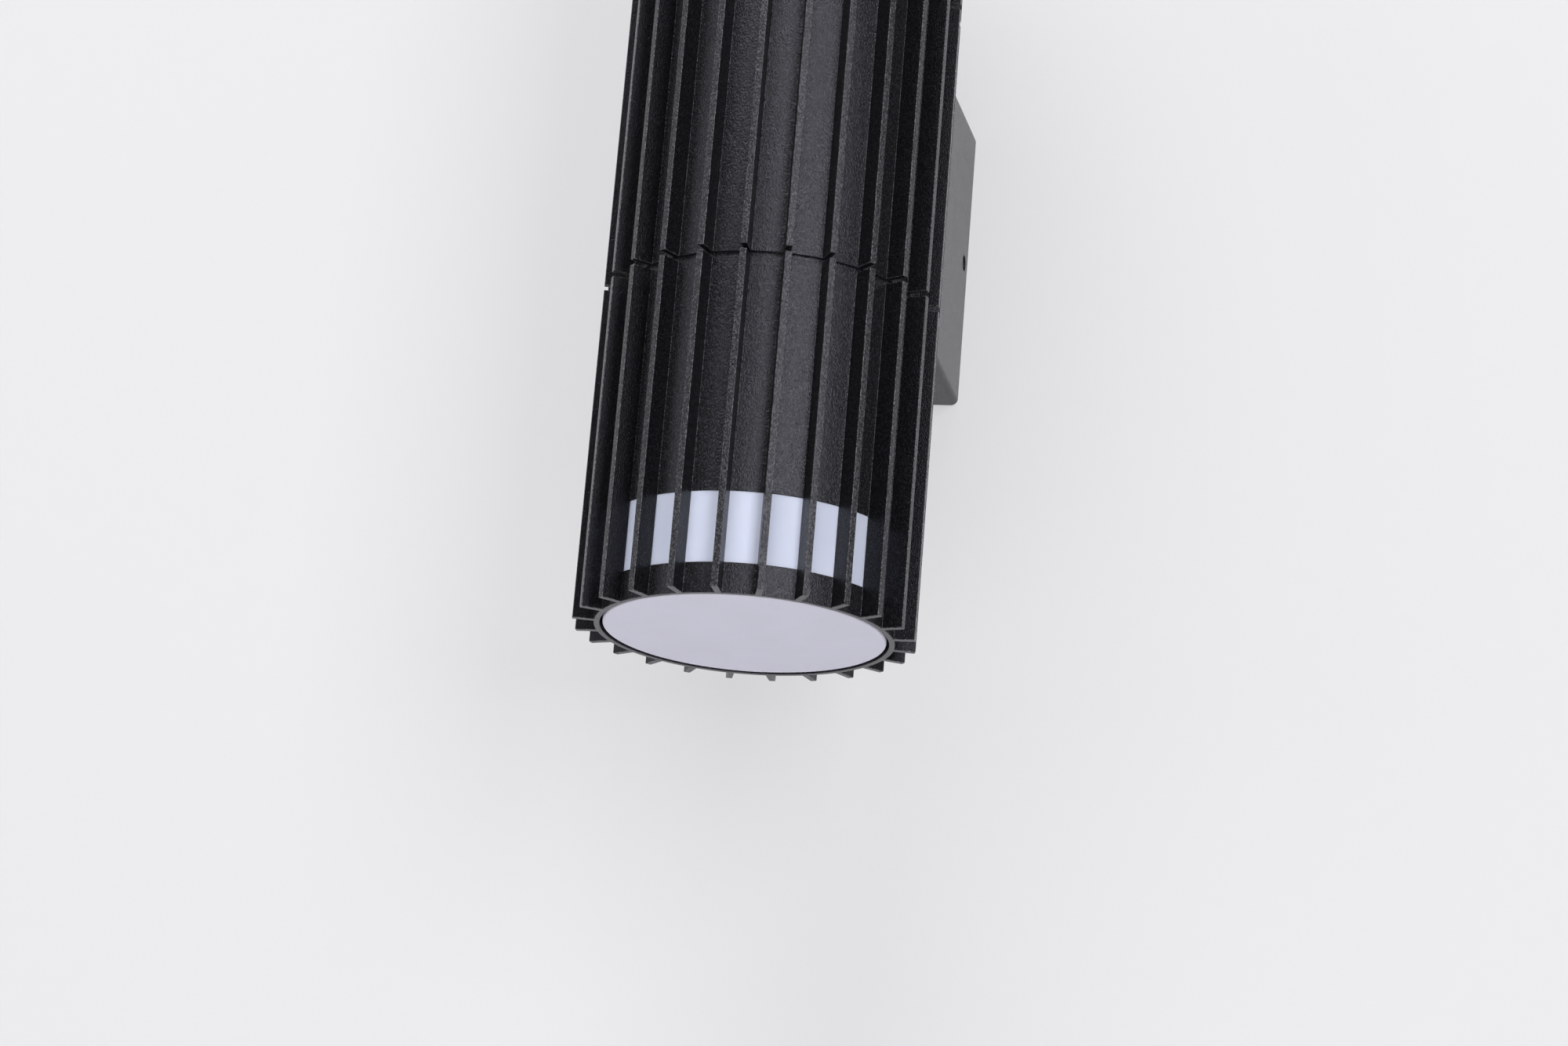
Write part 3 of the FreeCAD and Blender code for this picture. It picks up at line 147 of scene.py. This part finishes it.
# The opal plastic: its clouds, its grain and how light goes into it.
OPAL_CLOUD = 16.0 * MM
CLOUD_DARK_SHARE = 0.3
CLOUD_LIGHT_SHARE = 0.75
OPAL_GRAIN = 0.7 * MM
OPAL_BUMP = 0.5
OPAL_DEPTH = 0.02 * MM
OPAL_LEAST_ROUGHNESS = 0.58
OPAL_MOST_ROUGHNESS = 0.72
OPAL_SHEEN = 0.35
OPAL_INNER_SHARE = 0.25
OPAL_LIGHT_REACH = 1.5 * MM

# The marks of metals, mouldings and sleeves.
PLAIN_DETAIL = 2.0
FINE_DETAIL = 3.0
MARK_DARK_SHARE = 0.3
MARK_LIGHT_SHARE = 0.7
TURNED_MARK = 1.1 * MM
TURNED_STRETCH = (1, 1, 0.1)
ROLLED_MARK = 3.8 * MM
FINE_MARK = 0.8 * MM
METAL_ROUGHNESS_SWING = 0.07
MARK_BUMP = 0.5
MARK_DEPTH = 0.02 * MM
MOULDED_GRAIN = 1.4 * MM
MOULDED_ROUGHNESS_SWING = 0.06
MOULDED_BUMP = 0.6
MOULDED_DEPTH = 0.03 * MM

# The coat's looks: all over, on sawn ends and outer edges, and on the fins' roots, sides and tips.
# The looks of the ends, edges and tips are painted light, and that of the fins' sides painted
# shade.
COATS = {
    "powder_black": {"dark": (0.0055, 0.0055, 0.006), "light": (0.0235, 0.024, 0.027),
                     "roughness": 0.26, "depth": COAT_DEPTH},
    # Painted reflection: the downward sawn ends are a lighter grey, standing in for the pale
    # surroundings that they mirror.
    "powder_end_reflection": {"dark": (0.045, 0.045, 0.048), "light": (0.065, 0.065, 0.07),
                   "roughness": 0.42, "depth": END_COAT_DEPTH},
    # Painted highlight: the rounded edges are much lighter than the coat, standing in for thin
    # bright lines of light along them.
    "powder_edge_highlight": {"dark": (0.02, 0.02, 0.021), "light": (0.15, 0.15, 0.157),
                    "roughness": 0.25, "depth": EDGE_COAT_DEPTH},
    "powder_root": {"dark": (0.003, 0.003, 0.0035), "light": (0.035, 0.035, 0.04),
                    "roughness": 0.26, "depth": COAT_DEPTH},
    # Painted shade: the fins' sides get a darker, less glossy copy of the coat, as in the shade
    # between the fins.
    "powder_fin_shade": {"dark": (0.0035, 0.0035, 0.004), "light": (0.014, 0.0145, 0.017),
                   "roughness": 0.34, "depth": COAT_DEPTH, "sheen": FIN_COAT_SHEEN},
    # Painted light: the fins' outer faces are lighter than the coat, as where light falls on them.
    "powder_tip_lit": {"dark": (0.010, 0.010, 0.0105), "light": (0.06, 0.06, 0.065),
                   "roughness": 0.26, "depth": COAT_DEPTH},
}

# The cups' opal, and a lighter, bluer copy of it for the windows, which is painted light.
OPALS = {
    "opal": {"dark": (0.645, 0.635, 0.73), "light": (0.675, 0.665, 0.77)},
    "opal_window_lit": {"dark": (0.66, 0.70, 0.86), "light": (0.70, 0.74, 0.90)},
}

# Bare and plated metals.
METALS = {
    "bare_aluminium": {"dark": (0.62, 0.63, 0.65), "light": (0.80, 0.81, 0.83),
                       "roughness": 0.32, "mark": TURNED_MARK, "stretch": TURNED_STRETCH},
    "zinc_steel": {"dark": (0.50, 0.52, 0.55), "light": (0.68, 0.70, 0.73),
                   "roughness": 0.30, "mark": ROLLED_MARK},
    "black_steel": {"dark": (0.04, 0.04, 0.045), "light": (0.09, 0.09, 0.10),
                    "roughness": 0.38, "mark": FINE_MARK},
    "yellow_brass": {"dark": (0.62, 0.44, 0.18), "light": (0.80, 0.60, 0.28),
                     "roughness": 0.25, "mark": TURNED_MARK},
}

# Rubber, plastic and sleeves.
MOULDINGS = {
    "black_rubber": {"dark": (0.012, 0.012, 0.013), "light": (0.03, 0.03, 0.032),
                     "roughness": 0.75},
    "board_white": {"dark": (0.78, 0.78, 0.76), "light": (0.86, 0.86, 0.84), "roughness": 0.4},
    "led_yellow": {"dark": (0.80, 0.60, 0.10), "light": (0.90, 0.72, 0.18), "roughness": 0.2,
                   "mark": FINE_MARK},
    "driver_case": {"dark": (0.70, 0.70, 0.69), "light": (0.80, 0.80, 0.79), "roughness": 0.45},
    "block_nylon": {"dark": (0.72, 0.70, 0.63), "light": (0.82, 0.80, 0.74), "roughness": 0.4},
    "wire_brown": {"dark": (0.10, 0.04, 0.02), "light": (0.16, 0.07, 0.035), "roughness": 0.35},
    "wire_blue": {"dark": (0.01, 0.05, 0.30), "light": (0.02, 0.09, 0.42), "roughness": 0.35},
    "wire_green": {"dark": (0.05, 0.25, 0.03), "light": (0.45, 0.42, 0.03), "roughness": 0.35,
                   "mark": ROLLED_MARK},
    "wire_red": {"dark": (0.35, 0.01, 0.01), "light": (0.48, 0.02, 0.015), "roughness": 0.35},
}


# Camera and stage

def set_camera():
    """The photographer's place: low, a little to the right, looking up."""
    level = math.cos(CAMERA_ELEVATION)
    ahead = Vector((-math.sin(CAMERA_AZIMUTH) * level, math.cos(CAMERA_AZIMUTH) * level,
                    math.sin(CAMERA_ELEVATION)))
    side = Vector((math.cos(CAMERA_AZIMUTH), math.sin(CAMERA_AZIMUTH), 0))
    rise = side.cross(ahead)
    right = side * math.cos(CAMERA_ROLL) + rise * math.sin(CAMERA_ROLL)
    up = rise * math.cos(CAMERA_ROLL) - side * math.sin(CAMERA_ROLL)
    aim = Vector((0, -AXIS_STANDOFF, AIM_HEIGHT))
    eye = aim + right * CAMERA_ACROSS - up * CAMERA_DOWN - ahead * CAMERA_DISTANCE
    turn = Matrix((right, up, -ahead)).transposed().to_4x4()
    data = bpy.data.cameras.new("camera")
    data.sensor_width = SENSOR_WIDTH
    data.lens = LENS
    data.clip_start = CAMERA_CLIP
    camera = add_object("camera", data)
    camera.matrix_world = Matrix.Translation(eye) @ turn
    bpy.context.scene.camera = camera


def add_object(name, data):
    """Put a mesh, a lamp or a camera in the scene."""
    piece = bpy.data.objects.new(name, data)
    bpy.context.scene.collection.objects.link(piece)
    return piece


def flat_sheet(name, corners, material):
    """A four-cornered sheet."""
    mesh = bpy.data.meshes.new(name)
    mesh.from_pydata(corners, [], [tuple(range(len(corners)))])
    mesh.materials.append(material)
    return add_object(name, mesh)


def backdrop_material(name, colour):
    """A matt pale paint, seen and mirrored partly self-lit, so that shadows on it stay weak.

    It gives back the material, its tree, its shader and its light path.
    """
    material, tree, shader = new_material(name)
    shader.inputs["Roughness"].default_value = BACKDROP_ROUGHNESS
    shader.inputs["Specular IOR Level"].default_value = BACKDROP_SHEEN
    path = tree.nodes.new("ShaderNodeLightPath")
    seen = math_node(tree, "MAXIMUM", path.outputs["Is Camera Ray"], path.outputs["Is Glossy Ray"])
    tone = tree.nodes.new("ShaderNodeMix")
    tone.data_type = "RGBA"
    tone.inputs["A"].default_value = opaque(colour)
    tone.inputs["B"].default_value = opaque(part * BACKDROP_SEEN_SHARE for part in colour)
    tree.links.new(seen, tone.inputs["Factor"])
    tree.links.new(tone.outputs["Result"], shader.inputs["Base Color"])
    shader.inputs["Emission Color"].default_value = opaque(colour)
    tree.links.new(math_node(tree, "MULTIPLY", seen, BACKDROP_GLOW),
                   shader.inputs["Emission Strength"])
    return material, tree, shader, path


def wall_material():
    """Backdrop paint that can't be seen from behind and casts no shadow."""
    material, tree, shader, path = backdrop_material("wall_paint", WALL_COLOUR)
    surface = tree.nodes.new("ShaderNodeNewGeometry")
    either = math_node(tree, "MAXIMUM", surface.outputs["Backfacing"],
                       path.outputs["Is Shadow Ray"])
    clear = tree.nodes.new("ShaderNodeBsdfTransparent")
    blend = tree.nodes.new("ShaderNodeMixShader")
    out = tree.nodes["Material Output"]
    tree.links.new(either, blend.inputs["Fac"])
    tree.links.new(shader.outputs["BSDF"], blend.inputs[1])
    tree.links.new(clear.outputs["BSDF"], blend.inputs[2])
    tree.links.new(blend.outputs["Shader"], out.inputs["Surface"])
    return material


def build_stage():
    """A pale wall behind the light and a pale floor well below it."""
    half = STAGE_SIZE / 2
    wall_paint = wall_material()
    floor_paint, *_ = backdrop_material("floor_paint", FLOOR_COLOUR)
    wall = flat_sheet("wall", [(-half, WALL_GAP, FLOOR_HEIGHT), (half, WALL_GAP, FLOOR_HEIGHT),
                               (half, WALL_GAP, half), (-half, WALL_GAP, half)], wall_paint)
    floor = flat_sheet("floor", [(-half, -half, FLOOR_HEIGHT), (half, -half, FLOOR_HEIGHT),
                                 (half, half, FLOOR_HEIGHT), (-half, half, FLOOR_HEIGHT)],
                       floor_paint)


def add_softbox(name, azimuth, elevation, distance, width, height, power):
    """A rectangular lamp that faces the middle of the light."""
    data = bpy.data.lights.new(name, "AREA")
    data.shape = "RECTANGLE"
    data.size = width
    data.size_y = height
    data.energy = power
    turn = math.radians(azimuth)
    rise = math.radians(elevation)
    away = Vector((math.sin(turn) * math.cos(rise), -math.cos(turn) * math.cos(rise),
                   math.sin(rise)))
    lamp = add_object(name, data)
    lamp.location = Vector((0, -AXIS_STANDOFF, 0)) + away * distance
    lamp.rotation_euler = away.to_track_quat("Z", "Y").to_euler()


def build_lights():
    """Soft studio light: lamps above, in front, on the left and below, and a faint even world."""
    for name, numbers in LAMPS.items():
        add_softbox(name, **numbers)
    world = bpy.data.worlds.new("world")
    world.use_nodes = True
    tree = world.node_tree
    background = tree.nodes["Background"]
    background.inputs["Color"].default_value = opaque(WORLD_COLOUR)
    path = tree.nodes.new("ShaderNodeLightPath")
    strength = spread(tree, path.outputs["Is Camera Ray"], WORLD_STRENGTH, WORLD_SEEN_STRENGTH)
    tree.links.new(strength, background.inputs["Strength"])
    bpy.context.scene.world = world


# Material helpers

def opaque(colour):
    """A colour that nothing shows through."""
    return (*colour, 1)


def new_material(name):
    """A node material with its one principled shader."""
    material = bpy.data.materials.new(name)
    material.use_nodes = True
    tree = material.node_tree
    return material, tree, tree.nodes["Principled BSDF"]


def math_node(tree, operation, first, second):
    """One calculation with two values, each a socket or a number."""
    node = tree.nodes.new("ShaderNodeMath")
    node.operation = operation
    for number, item in enumerate((first, second)):
        if isinstance(item, (int, float)):
            node.inputs[number].default_value = item
        else:
            tree.links.new(item, node.inputs[number])
    return node.outputs["Value"]


def spread(tree, value, low, high):
    """Map a value from zero to one onto the numbers from low to high."""
    node = tree.nodes.new("ShaderNodeMapRange")
    node.inputs["To Min"].default_value = low
    node.inputs["To Max"].default_value = high
    tree.links.new(value, node.inputs["Value"])
    return node.outputs["Result"]


def grain(tree, size, stretch=EVEN, detail=PLAIN_DETAIL):
    """Noise whose grains have about this size on the object."""
    place = tree.nodes.new("ShaderNodeTexCoord")
    mapping = tree.nodes.new("ShaderNodeMapping")
    mapping.inputs["Scale"].default_value = stretch
    noise = tree.nodes.new("ShaderNodeTexNoise")
    noise.inputs["Scale"].default_value = 1 / size
    noise.inputs["Detail"].default_value = detail
    tree.links.new(place.outputs["Object"], mapping.inputs["Vector"])
    tree.links.new(mapping.outputs["Vector"], noise.inputs["Vector"])
    return noise.outputs["Fac"]


def colour_by(tree, shader, value, low, high):
    """Colour the surface by a value, between two places that each have their colour."""
    node = tree.nodes.new("ShaderNodeValToRGB")
    for element, (place, colour) in zip(node.color_ramp.elements, (low, high)):
        element.position = place
        element.color = opaque(colour)
    tree.links.new(value, node.inputs["Fac"])
    tree.links.new(node.outputs["Color"], shader.inputs["Base Color"])


def vary_roughness(tree, shader, value, low, high):
    """Let roughness wander between two numbers."""
    tree.links.new(spread(tree, value, low, high), shader.inputs["Roughness"])


def add_bump(tree, shader, heights, distance, strength):
    """Raise the surface by a height map."""
    bump = tree.nodes.new("ShaderNodeBump")
    bump.inputs["Distance"].default_value = distance
    bump.inputs["Strength"].default_value = strength
    tree.links.new(heights, bump.inputs["Height"])
    tree.links.new(bump.outputs["Normal"], shader.inputs["Normal"])


# Materials

def powder_coat(name, dark, light, roughness, depth, sheen=COAT_SHEEN):
    """Fine-textured powder coat, whose grains are lighter and smoother than the pits between; the
    lighter grains and darker pits are partly the coat's own mottle and partly painted glints and
    painted shade.
    """
    material, tree, shader = new_material(name)
    fine = grain(tree, COAT_FINE_GRAIN, COAT_STRETCH)
    coarse = grain(tree, COAT_COARSE_GRAIN, COAT_STRETCH)
    patches = grain(tree, COAT_PATCH)
    heights = math_node(tree, "ADD", math_node(tree, "MULTIPLY", fine, FINE_GRAIN_SHARE), coarse)
    wear = math_node(tree, "ADD", math_node(tree, "MULTIPLY", patches, PATCH_SHARE), coarse)
    # Colour by the coarse grain: partly the coat's own mottle, partly painted glints on the grains
    # and painted shade in the pits.
    colour_by(tree, shader, coarse, (PIT_SHARE, dark), (GRAIN_SHARE, light))
    vary_roughness(tree, shader, wear, roughness + COAT_ROUGHNESS_SWING,
                   roughness - COAT_ROUGHNESS_SWING)
    shader.inputs["Specular Tint"].default_value = opaque(COAT_SHEEN_COLOUR)
    shader.inputs["Specular IOR Level"].default_value = sheen
    add_bump(tree, shader, heights, depth, COAT_BUMP)
    return material


def opal_plastic(name, dark, light):
    """Satin opal acrylic with a little light going into it."""
    material, tree, shader = new_material(name)
    cloud = grain(tree, OPAL_CLOUD, detail=FINE_DETAIL)
    grains = grain(tree, OPAL_GRAIN)
    colour_by(tree, shader, cloud, (CLOUD_DARK_SHARE, dark), (CLOUD_LIGHT_SHARE, light))
    shader.inputs["Subsurface Weight"].default_value = OPAL_INNER_SHARE
    shader.inputs["Subsurface Radius"].default_value = EVEN
    shader.inputs["Subsurface Scale"].default_value = OPAL_LIGHT_REACH
    shader.inputs["Specular IOR Level"].default_value = OPAL_SHEEN
    vary_roughness(tree, shader, grains, OPAL_LEAST_ROUGHNESS, OPAL_MOST_ROUGHNESS)
    add_bump(tree, shader, grains, OPAL_DEPTH, OPAL_BUMP)
    return material


def metal(name, dark, light, roughness, mark, stretch=EVEN):
    """Bare or plated metal with fine marks from the tool or the rolling mill."""
    material, tree, shader = new_material(name)
    marks = grain(tree, mark, stretch, FINE_DETAIL)
    colour_by(tree, shader, marks, (MARK_DARK_SHARE, dark), (MARK_LIGHT_SHARE, light))
    shader.inputs["Metallic"].default_value = 1
    vary_roughness(tree, shader, marks, roughness - METAL_ROUGHNESS_SWING,
                   roughness + METAL_ROUGHNESS_SWING)
    add_bump(tree, shader, marks, MARK_DEPTH, MARK_BUMP)
    return material


def moulding(name, dark, light, roughness, mark=MOULDED_GRAIN):
    """A moulded or extruded plastic or rubber with a slight grain."""
    material, tree, shader = new_material(name)
    marks = grain(tree, mark, detail=FINE_DETAIL)
    colour_by(tree, shader, marks, (MARK_DARK_SHARE, dark), (MARK_LIGHT_SHARE, light))
    vary_roughness(tree, shader, marks, roughness - MOULDED_ROUGHNESS_SWING,
                   roughness + MOULDED_ROUGHNESS_SWING)
    add_bump(tree, shader, marks, MOULDED_DEPTH, MOULDED_BUMP)
    return material


def build_materials():
    """A material for each of the record's slots and for each further look of coat and opal."""
    made = {}
    for build, looks in ((powder_coat, COATS), (opal_plastic, OPALS), (metal, METALS),
                         (moulding, MOULDINGS)):
        for name, look in looks.items():
            made[name] = build(name, **look)
    return made


# Section of the finned tube

def fin_angle(cell):
    """Where a fin stands."""
    return FIRST_FIN_ANGLE + FULL_TURN * cell / FIN_COUNT


def at_angle(angle, across, out):
    """A point of the section: across a fin and out from the axis, turned to its place."""
    return (round(out * math.cos(angle) - across * math.sin(angle), SAME_POINT_DIGITS),
            round(out * math.sin(angle) + across * math.cos(angle) - AXIS_STANDOFF,
                  SAME_POINT_DIGITS))


def fin_blocks(cell):
    """The blocks of the section at one fin: the tube's wall behind it, its root, and the fin.

    Each outline runs along its low side outwards and back along its high side.
    """
    angle = fin_angle(cell)
    half = FIN_THICKNESS / 2
    radii = (math.sqrt(BORE_RADIUS ** 2 - half ** 2), FIN_ROOT_RADIUS,
             math.sqrt(TUBE_RADIUS ** 2 - half ** 2), FIN_TIP_RADIUS)
    low = [at_angle(angle, -half, radius) for radius in radii]
    high = [at_angle(angle, half, radius) for radius in radii]
    return [(kind, [low[step], low[step + 1], high[step + 1], high[step]])
            for step, kind in enumerate(("wall", "root", "fin"))]


def gap_blocks(cell):
    """The blocks of the tube's wall between one fin and the next."""
    wall, root, _ = (outline for _, outline in fin_blocks(cell))
    next_wall, next_root, _ = (outline for _, outline in fin_blocks((cell + 1) % FIN_COUNT))
    half = FIN_THICKNESS / 2
    pitch = FULL_TURN / FIN_COUNT
    columns = [[wall[3], root[3], root[2]]]
    for step in range(1, GAP_STEPS):
        column = []
        for radius in (BORE_RADIUS, TUBE_RADIUS):
            start = math.asin(half / radius)
            angle = fin_angle(cell) + start + step / GAP_STEPS * (pitch - 2 * start)
            column.append(at_angle(angle, 0, radius))
        columns.append(column)
    columns.append([next_wall[0], next_root[0], next_root[1]])
    return [("wall", [*before, *reversed(after)]) for before, after in zip(columns, columns[1:])]


def is_head_solid(kind, _, zone):
    """Whether an end length has this block: in its middle zone the wall gives way to windows."""
    return kind != "wall" or zone != MIDDLE_ZONE


def is_barrel_solid(kind, cell, zone):
    """Whether the middle length has this block: in its middle zone the rear fins are milled off."""
    return kind != "fin" or zone != MIDDLE_ZONE or cell not in MILLED_FINS


# Finned lengths of tube

def open_sides(blocks, zone):
    """The sides of a zone's blocks that no other block of the zone covers."""
    sides = {}
    for outline, filled in blocks:
        if zone in filled:
            for side in zip(outline, outline[1:] + outline[:1]):
                if sides.pop(frozenset(side), None) is None:
                    sides[frozenset(side)] = side
    return sides.values()


def finned_shape(levels, is_solid, sawn_level):
    """The faces of a finned length, with the lighter end coat, a painted reflection, on the end
    that the saw cut.
    """
    zones = range(len(levels) - 1)
    blocks = []
    for cell in range(FIN_COUNT):
        for kind, outline in fin_blocks(cell) + gap_blocks(cell):
            blocks.append((outline, {zone for zone in zones if is_solid(kind, cell, zone)}))
    shape = bmesh.new()
    made = {}

    def vertex(point, level):
        """The one vertex at this point and level."""
        key = (*point, level)
        if key not in made:
            made[key] = shape.verts.new((*point, levels[level]))
        return made[key]

    for zone in zones:
        for first, second in open_sides(blocks, zone):
            shape.faces.new([vertex(first, zone), vertex(second, zone),
                             vertex(second, zone + 1), vertex(first, zone + 1)])
    for level in range(len(levels)):
        for outline, filled in blocks:
            if (level - 1 in filled) != (level in filled):
                face = shape.faces.new([vertex(point, level) for point in outline])
                # The sawn end gets the lighter end coat, a painted reflection.
                face.material_index = END_REFLECTION_COAT if level == sawn_level else MAIN_COAT
    bmesh.ops.recalc_face_normals(shape, faces=shape.faces)
    return shape


def finned_length(name, levels, coats, is_solid, sawn_level=None):
    """A finned length of tube between levels; the test says which blocks each zone has."""
    shape = finned_shape(levels, is_solid, sawn_level)
    mesh = bpy.data.meshes.new(name)
    shape.to_mesh(mesh)
    shape.free()
    for coat in coats:
        mesh.materials.append(coat)
    piece = add_object(name, mesh)
    round_edges(piece)
    coat_fins(piece.data)
    return piece


def round_edges(piece):
    """Round every sharp edge of a piece, with flat faces shaded flat, and keep the result."""
    piece.data.shade_smooth()
    rounding = piece.modifiers.new("rounding", "BEVEL")
    rounding.width = EDGE_ROUND
    rounding.segments = BEVEL_STEPS
    rounding.limit_method = "ANGLE"
    rounding.angle_limit = SHARP_ANGLE
    # The rounded edges get the lighter edge coat, a painted highlight.
    rounding.material = EDGE_HIGHLIGHT_COAT
    shading = piece.modifiers.new("shading", "WEIGHTED_NORMAL")
    shading.mode = "FACE_AREA"
    shading.weight = FLAT_FACE_WEIGHT
    apply_modifiers(piece)


def apply_modifiers(piece):
    """Replace a piece's mesh by what its modifiers make of it."""
    graph = bpy.context.evaluated_depsgraph_get()
    finished = bpy.data.meshes.new_from_object(piece.evaluated_get(graph))
    piece.modifiers.clear()
    piece.data = finished


def coat_fins(mesh):
    """Give the fins' sides a darker coat, painted shade, their tips a lighter one, painted light,
    and their rounded roots a coat of their own.
    """
    for face in mesh.polygons:
        out = math.hypot(face.center.x, face.center.y + AXIS_STANDOFF)
        if face.material_index == EDGE_HIGHLIGHT_COAT and out < ROOT_COAT_END:
            face.material_index = ROOT_COAT
        # Fin tips: painted light.
        elif face.material_index == MAIN_COAT and out > TIP_COAT_START:
            face.material_index = TIP_LIT_COAT
        # Fin sides: painted shade.
        elif face.material_index == MAIN_COAT and out > FIN_SIDE_START:
            face.material_index = FIN_SHADE_COAT


def build_head(end, coats):
    """An end length with its ring of windows, in place of the CAD node."""
    low, high = (corner[2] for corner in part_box(end + "_head"))
    steps = [0, WINDOW_START, WINDOW_START + WINDOW_HEIGHT, high - low]
    if end == "lower":
        levels = [low + step for step in steps]
        sawn_level = 0
    else:
        levels = [high - step for step in reversed(steps)]
        sawn_level = len(steps) - 1
    piece = finned_length(end + "_finned_tube", levels, coats, is_head_solid, sawn_level)
    finish_piece(piece, "lamp", "powder_black", end + "_head")


def build_barrel(coats):
    """The middle length, whose rear fins are milled off behind the neck of the wall box."""
    low, high = (corner[2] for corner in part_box("barrel"))
    middle = (low + high) / 2
    levels = [low, middle - MILLED_HALF_HEIGHT, middle + MILLED_HALF_HEIGHT, high]
    piece = finned_length("middle_finned_tube", levels, coats, is_barrel_solid)
    finish_piece(piece, "lamp", "powder_black", "barrel")


def finish_piece(piece, body, slot, *nodes):
    """Give a piece its body and hide the nodes that it stands for; its slot is not used."""
    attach(piece, body)
    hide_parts(*nodes)


def dress_nodes(materials):
    """Give every node the material of its slot, and the window strips the lighter, bluer opal,
    which is painted light.
    """
    slots = {row["node"]: row["material_slot"] for row in frame["record"]["subparts"]}
    for name, node in frame["nodes"].items():
        wanted = "opal_window_lit" if name.endswith("window_band") else slots[name]
        node.data.materials.clear()
        node.data.materials.append(materials[wanted])


set_camera()
build_stage()
build_lights()
materials = build_materials()
dress_nodes(materials)
tube_coats = [materials[name] for name in TUBE_COATS]
for lamp_end in ("lower", "upper"):
    build_head(lamp_end, tube_coats)
build_barrel(tube_coats)
bpy.context.scene.view_settings.view_transform = "Standard"
